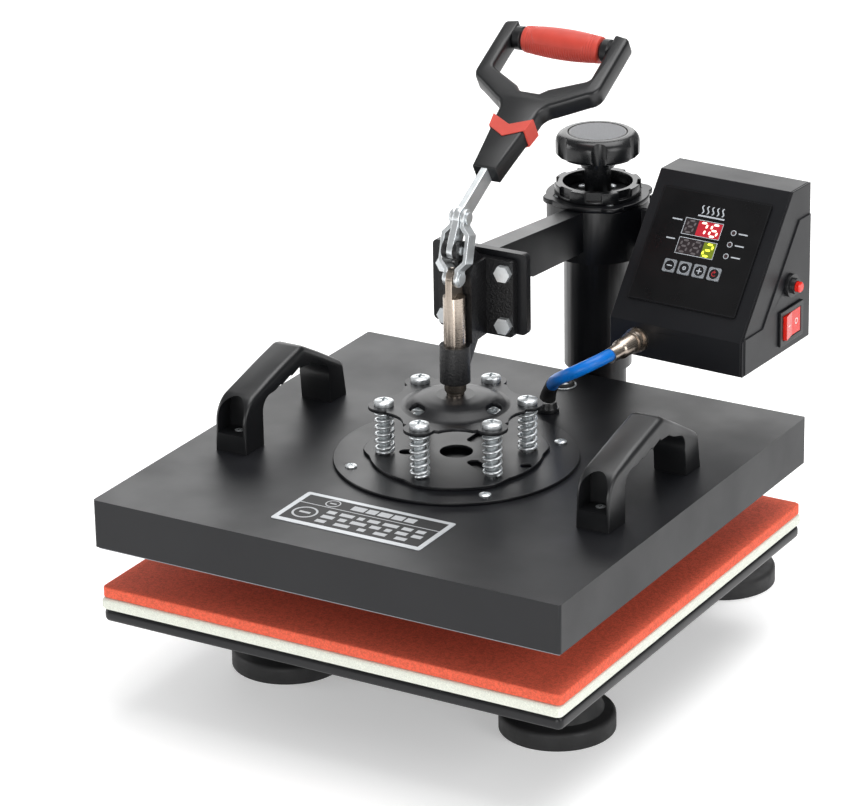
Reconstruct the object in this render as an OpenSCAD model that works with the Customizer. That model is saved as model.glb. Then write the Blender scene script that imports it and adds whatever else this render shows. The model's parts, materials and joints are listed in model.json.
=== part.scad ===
// Swing-away heat press: a heated platen hangs from a toggle plunger on an arm
// that turns round a rear post, above a padded lower bed.
// Millimetres, +Z up, origin on the floor under the middle of the whole machine.

/* [Platen and bed] */
// Side of the square heated platen
platen_w = 380; // [360:2:380]
// Height of the platen with its cover
platen_h = 38; // [36:1:42]
// Open gap between the pads and the platen
press_gap = 30.5; // [30.5:0.5:34]
// Width of the lower bed plate
bed_w = 377; // [350:1:377]
// Depth of the lower bed plate
bed_d = 374; // [340:1:374]
// Thickness of the lower bed plate
bed_t = 10; // [8:0.5:12]
// Thickness of the felt pad
felt_t = 9; // [6:0.5:10]
// Thickness of the silicone sponge pad
sponge_t = 8.5; // [6:0.5:10]

/* [Stand] */
// Diameter of each rubber foot
foot_dia = 85; // [70:1:90]
// Height of each rubber foot
foot_h = 34; // [30:1:36]
// Height of the base frame tubes
frame_h = 35; // [30:1:40]
// Diameter of the rear post
post_dia = 43.6; // [40:0.2:43.6]
// Distance from the platen centre back to the post
throat = 218; // [218:1:222]

/* [Head] */
// Outside diameter of the lower sleeve
sleeve_dia = 52; // [50:1:52]
// Outside diameter of the upper sleeve
collar_dia = 78; // [70:1:80]
// Width of the swing arm
arm_w = 16; // [12:1:20]
// Diameter of the plunger rod
rod_dia = 16; // [14:0.5:16]

/* [Toggle] */
// Distance from the fixed pivot to the crank pin
crank_r = 24; // [23:0.5:25]
// Length of the links between their pins
link_len = 44; // [43:0.5:46]
// Backward lean of the crank when the press is open
crank_lean = 28; // [24:1:30]
// Backward lean of the handle when the press is open
handle_lean = 60.8; // [56:0.2:64]

/* [Control box] */
// Width of the control box
box_w = 111.6; // [100:0.2:112]
// Depth of the control box
box_d = 101; // [98:1:104]
// Height of the control box
box_h = 120.8; // [118:0.2:124]
// Turn of the control box towards the user
box_turn = 2.8; // [0:0.2:4]

/* [Hidden] */
$fn = 64;
eps = 0.01;

// levels, from the floor up
frame_z = foot_h;
bed_z = frame_z + frame_h;
felt_z = bed_z + bed_t;
sponge_z = felt_z + felt_t;
heat_z = sponge_z + sponge_t + press_gap;
deck_z = heat_z + platen_h;

// plan positions
press_y = -40;
column_y = press_y + throat;
foot_r = foot_dia / 2;
front_foot = [114, press_y - 57];
rear_foot = [102, 230 - foot_r];
feet = [front_foot, rear_foot];

// platen and what stands on it
skin_t = 1.5;
heat_plate_t = 14;
disc_r = 90;
disc_t = 2.5;
lobed_t = 2.5;
lobed_z = deck_z + disc_t;
hang_r = 52;
spider_t = 2.5;
spider_top = deck_z + 42;
spider_z = spider_top - spider_t;
spring_z = lobed_z + lobed_t;
dome_top = deck_z + 50;

// plunger, toggle pins
rod_r = rod_dia / 2;
guide_z = [deck_z + 60, deck_z + 88];
pivot_z = deck_z + 160.7;
crank_y = crank_r * sin(crank_lean);
crank_z = pivot_z + crank_r * cos(crank_lean);
slider_z = crank_z - sqrt(pow(link_len, 2) - pow(crank_y, 2));
link_lean = asin(crank_y / link_len);
pin_r = 3;
bar_t = 5.2;
ear_t = 3.4;
link_t = 3;

// head on the post
post_r = post_dia / 2;
sleeve_r = sleeve_dia / 2;
collar_r = collar_dia / 2;
collar_z = deck_z + 93;
cap_z = deck_z + 134;
cap_t = 4;
post_top = cap_z - 19;
flange_y = 31;

// control box corner at its front, bottom, left
box_at = [60, press_y + 125, deck_z + 52];
box_lip = 26.6;
box_slope_d = 74;
slope = atan2(box_h - box_lip, box_slope_d);
panel_t = 1.2;
key_x = [34.4, 46.9, 59.4, 71.9];
key_s = 46.8;
key_w = 10;

// heater cable from the plug to the gland on the platen, measured from the platen axis and deck
cable_r = 4.75;
cable_route = [
    [81, 85.4, 65.5], [80.8, 77, 66], [79, 68.5, 65.6], [74.5, 61.5, 63.4], [68, 58, 59.8],
    [60.8, 58.6, 55.6], [54, 63, 51], [47.2, 70, 46], [40.4, 78.6, 40.8], [33.8, 88, 35.4],
    [27.4, 97.2, 29.4], [21.6, 104.6, 22.8], [17.2, 109, 16.2], [15, 110.4, 10.3]
];

// ---------- shared shapes ----------

module at_press(z = 0) translate([0, press_y, z]) children();

module at_column(z = 0) translate([0, column_y, z]) children();

module at_box() translate(box_at) rotate([0, 0, -box_turn]) children();

// frame on the sloping face: X across, Y up the slope, Z out of the face
module at_slope() at_box() translate([0, 0, box_lip]) rotate([slope, 0, 0]) children();

module tube(r_out, r_in, h) difference() {
    cylinder(r = r_out, h = h);
    translate([0, 0, -1]) cylinder(r = r_in, h = h + 2);
}

// flat sheet with rounded upright corners, centred in X and Y
module rounded_sheet(w, d, h, r) {
    translate([-w / 2, -d / 2 + r, 0]) cube([w, d - 2 * r, h]);
    translate([-w / 2 + r, -d / 2, 0]) cube([w - 2 * r, d, h]);
    for (x = [-1, 1], y = [-1, 1])
        translate([x * (w / 2 - r), y * (d / 2 - r), 0]) cylinder(r = r, h = h);
}

module rounded_square(w, d, r) {
    square([w, d - 2 * r], center = true);
    square([w - 2 * r, d], center = true);
    for (x = [-1, 1], y = [-1, 1]) translate([x * (w / 2 - r), y * (d / 2 - r)]) circle(r = r);
}

module hex_head(r, h) cylinder(r = r, h = h, $fn = 6);

// domed washer-head screw with a cross recess, its seat at z = 0
module cross_screw(head_r, head_h, shank_r, shank_len) {
    difference() {
        intersection() {
            cylinder(r = head_r, h = head_h);
            translate([0, 0, head_h - 2.2 * head_r]) sphere(r = 2.2 * head_r);
        }
        for (a = [0, 90]) rotate([0, 0, a])
            translate([-head_r * 0.5, -head_r * 0.12, head_h * 0.45]) cube([head_r, head_r * 0.24, head_h]);
    }
    translate([0, 0, -shank_len]) cylinder(r = shank_r, h = shank_len);
}

// upright outline in the YZ plane, given thickness along X and centred on x = 0
module side_profile(t) rotate([90, 0, 90]) linear_extrude(t, center = true) children();

// points of an arc about c
function arc(c, r, a0, a1, n) = [for (i = [0:n]) let (a = a0 + (a1 - a0) * i / n) c + r * [cos(a), sin(a)]];

// ---------- stand ----------

module foot() difference() {
    rotate_extrude() polygon(concat(
        [[0, 5], [30, 4], [38, 0], [foot_r, 0], [foot_r, 10]],
        arc([foot_r - 4, 10], 4, 0, 80, 6),
        [[34, 15.5], [27, foot_h - 3], [24, foot_h], [0, foot_h]]
    ));
    translate([0, 0, 12]) cylinder(r = 4.05, h = foot_h);
}

module at_feet() for (p = feet, s = [-1, 1]) translate([s * p.x, p.y, 0]) children();

module rubber_feet() color("#1c1c1e") at_feet() foot();

rail_w = 40;
rail_len = rear_foot.y - front_foot.y + 50;
rail_turn = atan2(front_foot.x - rear_foot.x, rear_foot.y - front_foot.y);
post_hole_r = post_r + 0.2;

module rail() translate([front_foot.x, front_foot.y - 25, frame_z]) rotate([0, 0, rail_turn]) difference() {
    translate([-rail_w / 2, 0, 0]) cube([rail_w, rail_len, frame_h]);
    translate([-rail_w / 2 + 2.5, 2.5, 2.5]) cube([rail_w - 5, rail_len - 5, frame_h - 5]);
}

module cross_tube(y, d, w) translate([-w / 2, y - d / 2, frame_z]) difference() {
    cube([w, d, frame_h]);
    translate([-1, 2.5, 2.5]) cube([w + 2, d - 5, frame_h - 5]);
}

module base_frame() color("#202124") difference() {
    union() {
        for (s = [0, 1]) mirror([s, 0, 0]) rail();
        cross_tube(front_foot.y, 40, 2 * front_foot.x - 38);
        cross_tube(column_y, 62, 2 * rear_foot.x - 38);
    }
    at_column(frame_z - 1) cylinder(r = post_hole_r, h = frame_h + 2);
    at_feet() translate([0, 0, frame_z - 1]) cylinder(r = 4.5, h = frame_h + 2);
}

module rear_post() color("#232427") at_column() difference() {
    union() {
        translate([0, 0, frame_z]) cylinder(r = post_r, h = post_top - frame_z);
        translate([0, 0, bed_z]) rounded_sheet(96, 60, 8, 8);
        translate([0, 0, bed_z + 8]) cylinder(r1 = 27, r2 = post_r, h = 5);
    }
    translate([0, 0, frame_z - 1]) cylinder(r = 15.8, h = post_top);
    for (x = [-1, 1], y = [-1, 1]) translate([x * 38, y * 20, bed_z - 1]) cylinder(r = 4.2, h = 10);
}

module base_fasteners() color("#c9cbd0") {
    at_feet() {
        translate([0, 0, 13]) cylinder(r = 4, h = bed_z - 13);
        translate([0, 0, bed_z]) rotate([0, 0, 15]) hex_head(6.2, 3);
    }
    at_column() for (x = [-1, 1], y = [-1, 1]) translate([x * 38, y * 20, bed_z + 8]) hex_head(6.5, 4.5);
}

module bed_plate() color("#2a2b2e") difference() {
    at_press(bed_z) rounded_sheet(bed_w, bed_d, bed_t, 5);
    translate([0, 0, bed_z - 1]) at_feet() cylinder(r = 9, h = 5);
}

module felt_pad() color("#e9ebe2") at_press(felt_z) rounded_sheet(378, 377, felt_t, 4);

module silicone_pad() color("#e2583a") at_press(sponge_z) rounded_sheet(377, 374, sponge_t, 4);

// ---------- swivel and head ----------

// nut and bush in one: it turns in the post's mouth and holds the pressure screw
module thrust_bush() color("#b08a4a") at_column(post_top) difference() {
    union() {
        translate([0, 0, -22]) cylinder(r = 15.72, h = 22);
        cylinder(r = 20.5, h = 6);
    }
    translate([0, 0, -23]) cylinder(r = 6.07, h = 30);
}

module head_sleeve() color("#1f2023") at_column() difference() {
    union() {
        translate([0, 0, deck_z]) cylinder(r = sleeve_r, h = collar_z - deck_z + 1);
        translate([0, 0, collar_z]) cylinder(r = collar_r, h = cap_z - collar_z);
    }
    translate([0, 0, deck_z - 1]) cylinder(r = post_r + 0.08, h = post_top - deck_z + 13);
    translate([0, 0, post_top + 11]) cylinder(r = 20, h = 20);
    for (a = [45:90:315]) rotate([0, 0, a]) translate([31, 0, cap_z - 14]) cylinder(r = 3.05, h = 20);
}

arm_front = flange_y + 12;
arm_back = throat - collar_r;

// height of the arm's upper edge at a distance y from the platen axis
function arm_top(y) = deck_z + 148 - 14 * (y - arm_front) / (arm_back - arm_front);

module swing_arm() color("#26272a") at_press() {
    difference() {
        side_profile(arm_w) polygon(concat(
            [[arm_front - eps, arm_top(arm_front)], [throat, arm_top(throat)], [throat, deck_z + 103]],
            [[arm_back - 6, deck_z + 103]],
            arc([arm_front + 40, deck_z + 91 - 19], 41, 62, 110, 8),
            [[arm_front + 12, deck_z + 96], [arm_front - eps, deck_z + 90]]
        ));
        translate([0, throat, deck_z]) cylinder(r = collar_r + eps, h = 200);
    }
    difference() {
        translate([0, arm_front, deck_z + 120]) rotate([90, 0, 0])
            linear_extrude(6) rounded_square(78, 62, 4);
        bracket_holes() cylinder(r = 4.2, h = 60, center = true);
    }
}

module sleeve_top_plate() color("#232427") at_column(cap_z) difference() {
    linear_extrude(cap_t) {
        circle(r = 39.5);
        rounded_square(67, 67, 11);
    }
    translate([0, 0, -1]) cylinder(r = 9, h = cap_t + 2);
    for (a = [45:90:315]) rotate([0, 0, a]) translate([31, 0, -1]) cylinder(r = 3.4, h = cap_t + 2);
    for (a = [75:90:345]) rotate([0, 0, a]) translate([14.8, 0, -1]) cylinder(r = 2.6, h = cap_t + 2);
}

module top_plate_bolts() color("#c9cbd0") at_column(cap_z + cap_t) {
    for (a = [45:90:315]) rotate([0, 0, a]) translate([31, 0, -17]) cylinder(r = 3, h = 17);
    for (a = [75:90:345]) rotate([0, 0, a]) translate([14.8, 0, 0]) cross_screw(4, 2.4, 2.5, cap_t);
}

bracket_bolt_x = 24;
bracket_bolt_z = [deck_z + 97, deck_z + 137];

module bracket_holes() for (x = [-1, 1], z = bracket_bolt_z)
    translate([x * bracket_bolt_x, flange_y, z]) rotate([90, 0, 0]) children();

module plunger_bracket() color("#202124") at_press() difference() {
    union() {
        // bolting flange
        translate([0, flange_y + 6, deck_z + 117]) rotate([90, 0, 0])
            linear_extrude(6) rounded_square(62, 58, 3);
        // web behind the rod, then the thin rib down to the guide
        side_profile(18) polygon([
            [9.6, guide_z[1] - 1], [flange_y + 1, deck_z + 88], [flange_y + 1, deck_z + 146],
            [12, deck_z + 146], [9.6, deck_z + 140]
        ]);
        side_profile(8) polygon([
            [3, guide_z[0] + 1], [9, guide_z[0] + 1], [flange_y + 1, deck_z + 90], [9.6, deck_z + 96]
        ]);
        translate([0, 0, guide_z[0]]) cylinder(r = 11.2, h = guide_z[1] - guide_z[0]);
        // two ears that hold the fixed pivot
        for (s = [-1, 1]) translate([s * (bar_t / 2 + 0.2 + ear_t / 2), 0, 0]) side_profile(ear_t) {
            translate([0, pivot_z]) circle(r = 7);
            polygon([
                [0, pivot_z + 7], [8, pivot_z + 5], [flange_y + 1, deck_z + 146], [flange_y + 1, deck_z + 120],
                [12, deck_z + 120], [12, pivot_z - 12], [2.5, pivot_z - 6.5]
            ]);
        }
    }
    translate([0, 0, guide_z[0] - 1]) cylinder(r = rod_r + 0.06, h = 40);
    translate([0, 0, guide_z[1]]) cylinder(r = rod_r + 0.6, h = deck_z + 148 - guide_z[1]);
    translate([0, 0, pivot_z]) rotate([0, 90, 0]) cylinder(r = pin_r + 0.02, h = 40, center = true);
    bracket_holes() cylinder(r = 4.2, h = 60, center = true);
}

module bracket_bolts() color("#cfd1d4") at_press() bracket_holes() {
    translate([0, 0, -12 - 7]) cylinder(r = 4, h = 19);
    hex_head(6.6, 4.6);
    translate([0, 0, -12 - 6.4]) rotate([0, 0, 10]) hex_head(6.6, 6.4);
}

module pivot_pin() color("#c4c6ca") at_press(pivot_z) rotate([0, 90, 0])
    cylinder(r = pin_r, h = 14.4, center = true);

module box_bracket() color("#1f2023") difference() {
    union() {
        translate([36, column_y - 4, deck_z + 97]) cube([26.5, 6, 34]);
        at_box() translate([-3.2, 62, 42]) cube([3, 50, 60]);
    }
    at_column(collar_z - 1) cylinder(r = collar_r + eps, h = 60);
    at_box() translate([-0.2, 0, 0]) cube([20, 120, 140]);
}

// ---------- pressure adjuster ----------

knob_z = cap_z + cap_t;

module lock_ring() color("#1d1e20") at_column(knob_z + 0.1) difference() {
    tube(33, 26.5, 9);
    for (a = [22.5:45:359]) rotate([0, 0, a]) translate([30, -6, 2.5]) cube([6, 12, 10]);
}

knob_h = 48;

module pressure_knob() color("#26272a") at_column(knob_z + 0.1) difference() {
    union() {
        cylinder(r = 10.2, h = 22);
        translate([0, 0, 21]) cylinder(r = 13, h = 9);
        rotate_extrude() polygon(concat(
            [[0, 29], [26, 29], [29.5, 30], [32, 32.5]],
            arc([24.5, knob_h - 7.5], 7.5, 0, 90, 5),
            [[0, knob_h]]
        ));
    }
    for (a = [0:60:300]) rotate([0, 0, a]) translate([34.5, 0, 27]) cylinder(r = 6.6, h = 30);
    translate([0, 0, -1]) cylinder(r = 6, h = 33);
    translate([0, 0, knob_h - 3]) cylinder(r = 22.8, h = 10);
}

module knob_cap() color("#303236") at_column(knob_z + 0.1 + knob_h - 3) {
    cylinder(r = 22.6, h = 2);
    translate([0, 0, 2]) cylinder(r1 = 22.6, r2 = 21.8, h = 0.8);
}

module pressure_screw() color("#b9bcc2") at_column() {
    translate([0, 0, post_top - 30]) cylinder(r = 6, h = knob_z + 30 - post_top + 30);
    translate([0, 0, cap_z - 6.2]) cylinder(r = 11, h = 6);
}

// ---------- toggle handle ----------

// frame of the handle: origin on the crank pin, Y along the handle, Z out of its upper face
module at_handle() translate([0, press_y + crank_y, crank_z]) rotate([90 - handle_lean, 0, 0]) children();

neck_t = 7.8;
grip_at = 177;
grip_half = 31.7;
hand_in = 40.3;
hand_out = 52;
// direction of the fixed pivot as seen from the crank pin, from the handle's length
crank_turn = 180 + handle_lean - crank_lean;

// crank and shank cut from one bar, seen from the side in the handle's frame
module handle_bar() color("#c2c5ca") at_handle() rotate([90, 0, 90]) linear_extrude(bar_t, center = true)
    difference() {
        union() {
            circle(r = 7.5);
            translate([0, -6.5]) square([108, 13]);
            rotate(crank_turn) {
                translate([0, -6.5]) square([crank_r, 13]);
                translate([crank_r, 0]) circle(r = 6.5);
            }
        }
        circle(r = pin_r);
        rotate(crank_turn) translate([crank_r, 0]) circle(r = pin_r + 0.05);
    }

// outline of the D handle, seen square to its upper face
module hand_outline() difference() {
    polygon(concat(
        [[-9.5, 43], [9.5, 43], [13.5, 80], [15.8, 95]],
        arc([28.5, 99], 12.5, 172, 112, 4),
        arc([hand_out - 12, 136], 12, -68, 0, 5),
        arc([hand_out - 4, grip_at + 6], 4, 0, 90, 4),
        arc([4 - hand_out, grip_at + 6], 4, 90, 180, 4),
        arc([12 - hand_out, 136], 12, 180, 248, 5),
        arc([-28.5, 99], 12.5, 68, 8, 4),
        [[-15.8, 95], [-13.5, 80]]
    ));
    polygon(concat(
        arc([hand_in - 6, 144], 6, -66, 0, 4),
        [[hand_in, 200], [-hand_in, 200]],
        arc([6 - hand_in, 144], 6, 180, 246, 4),
        [[-13, 126], [-8, 121], [8, 121], [13, 126]]
    ));
}

module handle_body() color("#232427") at_handle() difference() {
    union() {
        translate([0, 0, -neck_t]) linear_extrude(2 * neck_t) hand_outline();
        for (s = [0, 1]) mirror([s, 0, 0]) translate([grip_half + 0.1, grip_at, 0]) rotate([0, 90, 0])
            cylinder(r = 9, h = hand_in - grip_half + 1);
    }
    // slot for the bar, and the bore for the grip core
    translate([-bar_t / 2 - 0.02, 30, -6.52]) cube([bar_t + 0.04, 78.1, 13.04]);
    translate([-bar_t / 2 - 0.02, 30, -12]) cube([bar_t + 0.04, 20, 24]);
}

module grip_sleeve() color("#e5593b") at_handle() translate([0, grip_at, 0]) rotate([0, 90, 0])
    rotate_extrude() polygon(concat(
        [[0, -grip_half], [9.2, -grip_half]],
        [for (i = [0:16]) let (x = 0.98 * grip_half * (i / 8 - 1)) [9.6 + 2.2 * cos(x * 2.6), x]],
        [[9.2, grip_half], [0, grip_half]]
    ));

// chevron clip round the neck
module chevron_band() color("#e5593b") at_handle() difference() {
    translate([0, 0, -neck_t - 0.8]) linear_extrude(2 * neck_t + 1.6)
        polygon([[-14.8, 82], [0, 74], [14.8, 82], [16.6, 94], [0, 86], [-16.6, 94]]);
    translate([0, 0, -neck_t]) linear_extrude(2 * neck_t) hand_outline();
}

module crank_pin() color("#c4c6ca") at_handle() rotate([0, 90, 0]) {
    cylinder(r = pin_r, h = 12.4, center = true);
    for (s = [0, 1]) mirror([0, 0, s]) translate([0, 0, 6]) cylinder(r = 4.4, h = 1.4);
}

// ---------- links ----------

link_in = bar_t / 2 + 0.25;
bulge = 5.5;

// one joggled plate: it runs outside the ears in the middle and close to the bar at both ends
module link_plate() difference() {
    intersection() {
        rotate([90, 0, 90]) linear_extrude(40, center = true) {
            circle(r = 6.5);
            translate([0, -link_len]) circle(r = 6.5);
            translate([-5.5, -link_len]) square([11, link_len]);
        }
        rotate([90, 0, 0]) linear_extrude(20, center = true) polygon([
            [link_in, 7], [link_in, -7], [link_in + bulge, -13], [link_in + bulge, 13 - link_len],
            [link_in, 7 - link_len], [link_in, -7 - link_len], [link_in + link_t, -7 - link_len],
            [link_in + link_t, 5.5 - link_len], [link_in + bulge + link_t, 11.5 - link_len],
            [link_in + bulge + link_t, -11.5], [link_in + link_t, -5.5], [link_in + link_t, 7]
        ]);
    }
    for (z = [0, -link_len]) translate([0, 0, z]) rotate([0, 90, 0])
        cylinder(r = pin_r + 0.05, h = 40, center = true);
}

module at_links() translate([0, press_y + crank_y, crank_z]) rotate([-link_lean, 0, 0]) children();

module link_left() color("#c9cbd0") at_links() mirror([1, 0, 0]) link_plate();

module link_right() color("#c9cbd0") at_links() link_plate();

module slider_pin() color("#c4c6ca") at_links() translate([0, 0, -link_len])
    for (s = [0, 1]) mirror([s, 0, 0]) rotate([0, 90, 0]) {
        translate([0, 0, bar_t / 2 + 0.15]) cylinder(r = pin_r, h = 3.4);
        translate([0, 0, link_in + link_t + 0.05]) cylinder(r = 4.4, h = 1.4);
    }

// ---------- plunger ----------

module plunger_rod() color("#c9b9a2") at_press() {
    translate([0, 0, spider_z - 10]) cylinder(r = 6.35, h = 16 + dome_top - spider_z);
    translate([0, 0, dome_top + 2]) cylinder(r1 = 7, r2 = rod_r, h = 1.5);
    translate([0, 0, dome_top + 3.5]) cylinder(r = rod_r, h = slider_z - 14 - dome_top - 3.5);
    difference() {
        translate([0, 0, slider_z - 14]) intersection() {
            translate([-bar_t / 2, -rod_r, -2]) cube([bar_t, 2 * rod_r, 24]);
            translate([0, 0, -2]) cylinder(r = rod_r, h = 24);
            translate([0, 0, 14]) rotate([0, 90, 0]) translate([0, 0, -10]) linear_extrude(20) {
                circle(r = 7.5);
                translate([0, -9]) square([30, 18]);
            }
        }
        translate([0, 0, slider_z]) rotate([0, 90, 0]) cylinder(r = pin_r + 0.05, h = 40, center = true);
    }
}

module plunger_nut() color("#c4c6ca") at_press(spider_z - 8) difference() {
    hex_head(10.5, 7.5 + dome_top - spider_top);
    translate([0, 0, -1]) cylinder(r = 6.4, h = 40);
}

screw_angles = [for (i = [0:5]) 30 + 60 * i];

module spider_outline() difference() {
    union() {
        circle(r = hang_r);
        for (a = screw_angles) rotate(a) translate([hang_r, 0]) circle(r = 11.5);
    }
    for (a = screw_angles) rotate(a + 30) translate([68.5, 0]) circle(r = 21.5);
}

dome_rim = 40;

module spider_plate() color("#2b2c2f") at_press() difference() {
    union() {
        difference() {
            translate([0, 0, spider_z]) linear_extrude(spider_t) spider_outline();
            translate([0, 0, spider_z - 1]) cylinder(r = dome_rim - 2, h = 10);
        }
        rotate_extrude() polygon([
            [0, dome_top - spider_t], [13, dome_top - spider_t], [22, spider_z + 6.3], [29.5, spider_z + 3.4],
            [35, spider_z + 0.6], [dome_rim, spider_z], [dome_rim, spider_top], [37.5, spider_top + 0.4],
            [34, spider_top + 2.2], [29, spider_top + 4.9], [22, spider_top + 6.9], [14, dome_top],
            [0, dome_top]
        ]);
    }
    translate([0, 0, spider_z - 20]) cylinder(r = 6.4, h = 60);
    for (a = screw_angles) rotate([0, 0, a]) translate([hang_r, 0, spider_z - 1]) cylinder(r = 4.7, h = 10);
    for (a = [0, 120, 240]) rotate([0, 0, a]) translate([32, 0, spider_z - 2]) {
        cylinder(r = 4, h = 20);
        translate([0, -4, 0]) cylinder(r = 4, h = 20);
        translate([0, 4, 0]) cylinder(r = 4, h = 20);
        translate([-4, -4, 0]) cube([8, 8, 20]);
    }
}

// a round wire swept along points; frames follow the polar angle about Z
function coil_point(i, per, r, pitch) = [r * cos(360 * i / per), r * sin(360 * i / per), pitch * i / per];

module coil_spring(r, wire_r, len, turns) {
    per = 10;
    sides = 6;
    n = turns * per;
    pitch = (len - 2 * wire_r) / turns;
    points = [for (i = [0:n], k = [0:sides - 1]) let (
        c = coil_point(i, per, r, pitch),
        a = 360 * i / per,
        b = 360 * k / sides
    ) [c.x + wire_r * cos(b) * cos(a), c.y + wire_r * cos(b) * sin(a), c.z + wire_r * (1 + sin(b))]];
    sides_faces = [for (i = [0:n - 1], k = [0:sides - 1]) let (k2 = (k + 1) % sides)
        [i * sides + k, (i + 1) * sides + k, (i + 1) * sides + k2, i * sides + k2]];
    ends = [[for (k = [0:sides - 1]) k], [for (k = [sides - 1:-1:0]) n * sides + k]];
    polyhedron(points = points, faces = concat(sides_faces, ends), convexity = 10);
}

module suspension_springs() color("#c9cbd0") at_press(spring_z + 0.1)
    for (a = screw_angles) rotate([0, 0, a]) translate([hang_r, 0, 0])
        coil_spring(6.4, 1.1, spider_z - spring_z - 0.2, 6);

// ---------- heating head ----------

module suspension_screws() color("#cfd1d4") at_press(spider_top + 0.05)
    for (a = screw_angles) rotate([0, 0, a]) translate([hang_r, 0, 0]) rotate([0, 0, 20 - a])
        cross_screw(7.2, 5, 4.2, spider_top - lobed_z - 0.2);

// radius of the mounting plate's rim: three broad lobes joined by soft steps
function lobed_r(a) = 66 + 2.4 * max(-1, min(1, 3.4 * cos(3 * (a + 60))));

module mounting_plate() color("#2b2c2f") at_press(lobed_z) difference() {
    linear_extrude(lobed_t) polygon([for (a = [0:3:357]) lobed_r(a) * [cos(a), sin(a)]]);
    translate([0, 0, -1]) cylinder(r = 12, h = 10);
    for (a = screw_angles) rotate([0, 0, a]) translate([hang_r, 0, -1]) cylinder(r = 4.22, h = 10);
    for (a = [-30, 90, 210]) rotate([0, 0, a]) {
        for (x = [25, 37]) translate([x, 0, -1]) cylinder(r = 4.5, h = 10);
        translate([25, -4.5, -1]) cube([12, 9, 10]);
    }
    for (x = [-58, 58]) translate([x, 0, -1]) cylinder(r = 4, h = 10);
}

disc_screw_r = 79;

module flange_disc() color("#2a2b2e") at_press(deck_z) difference() {
    cylinder(r = disc_r, h = disc_t);
    translate([0, 0, -1]) cylinder(r = 16, h = 10);
    for (a = [45:90:315]) rotate([0, 0, a]) translate([disc_screw_r, 0, -1]) cylinder(r = 2.6, h = 10);
}

module platen_screws() color("#cfd1d4") {
    at_press(deck_z + disc_t) for (a = [45:90:315]) rotate([0, 0, a]) translate([disc_screw_r, 0, 0])
        rotate([0, 0, 15]) cross_screw(4.4, 2, 2.5, disc_t + skin_t + 1);
    for (s = [-1, 1], i = [0, 1]) translate([s * side_x, press_y + side_screw_y[i], deck_z + side_seat[i]])
        cross_screw(4.4, 2.2, 2.5, side_seat[i] + skin_t + 1);
}

module platen_cover() color("#2c2d30") at_press(heat_z + 1.5) difference() {
    rounded_sheet(platen_w, platen_w, platen_h - 1.5, 2);
    translate([-platen_w / 2 + skin_t, -platen_w / 2 + skin_t, -1])
        cube([platen_w - 2 * skin_t, platen_w - 2 * skin_t, platen_h - skin_t - 0.5]);
    translate([0, 0, 1]) for (a = [45:90:315]) rotate([0, 0, a]) translate([disc_screw_r, 0, 0])
        cylinder(r = 2.55, h = 60);
    for (s = [-1, 1], y = side_screw_y) translate([s * side_x, y, 1]) cylinder(r = 2.55, h = 60);
    translate([gland_at.x, gland_at.y, 1]) cylinder(r = 5, h = 60);
}

heat_plate_w = platen_w - 2 * skin_t - 0.6;

module heat_plate() color("#b9bcc0") at_press(heat_z)
    rounded_sheet(heat_plate_w, heat_plate_w, heat_plate_t, 1);

module insulation_mat() color("#d8d4c4") at_press(heat_z + heat_plate_t) difference() {
    rounded_sheet(370, 370, platen_h - heat_plate_t - skin_t - 1, 4);
    for (a = [45:90:315]) rotate([0, 0, a]) translate([disc_screw_r, 0, -1]) cylinder(r = 6, h = 60);
    for (s = [-1, 1], y = side_screw_y) translate([s * side_x, y, -1]) cylinder(r = 6, h = 60);
    translate([gland_at.x, gland_at.y, -1]) cylinder(r = 8, h = 60);
}

side_x = 150;
side_w = 26.4;
side_len = 140;
side_screw_y = [12 - side_len / 2, side_len / 2 - 10];
side_seat = [12.5, 4];

// side outline of a grab handle: a low front leg, a long rising back and notches for the fingers
module grab_outline() difference() {
    polygon(concat(
        [[0, 0]],
        arc([21, 22], 21, 178, 106, 7),
        arc([80, 47], 11, 103, 62, 4),
        arc([130, 21], 9, 60, 5, 4),
        [[side_len, 0], [118, 0], [116.5, 17]],
        arc([105, 24], 11, -15, 80, 5),
        [[98, 37.5], [90, 41.5], [78, 42], [76.5, 43.6], [65.5, 40.2], [64, 41.6], [51.5, 37.8], [50, 39.2]],
        [[42, 36.8]],
        arc([35.5, 25.5], 11, 85, 180, 6),
        [[24.5, 0]]
    ));
}

module grab_handle() translate([0, -side_len / 2, 0]) difference() {
    translate([0, 0, 0.02]) side_profile(side_w) grab_outline();
    // screw pocket, open at the front and at the rounded corner above it
    translate([-10.8, -1, 14]) cube([21.6, 18, 16.5]);
    translate([0, -1, 30]) rotate([-90, 0, 0]) cylinder(r = 10.8, h = 18);
    translate([0, 12, side_seat[0]]) cylinder(r = 5.2, h = 12);
    translate([0, 12, -1]) cylinder(r = 2.7, h = 20);
    translate([0, side_len - 10, side_seat[1]]) cylinder(r = 5.2, h = 12);
    translate([0, side_len - 10, -1]) cylinder(r = 2.7, h = 10);
}

module side_handle_left() color("#1e1f21") translate([-side_x, press_y, deck_z]) grab_handle();

module side_handle_right() color("#1e1f21") translate([side_x, press_y, deck_z]) grab_handle();

module rating_label() color("#c9cacc") translate([0, press_y - 131, deck_z]) rounded_sheet(122, 52, 0.4, 2);

gland_at = [15, 110.4];

module cable_gland() color("#18181a") at_press(deck_z) translate([gland_at.x, gland_at.y, 0]) {
    cylinder(r = 8.5, h = 3);
    translate([0, 0, 3]) cylinder(r1 = 7.5, r2 = 6.4, h = 4.8);
    translate([0, 0, -skin_t - 4]) cylinder(r = 4.9, h = skin_t + 5);
}

// ---------- control box ----------

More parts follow.
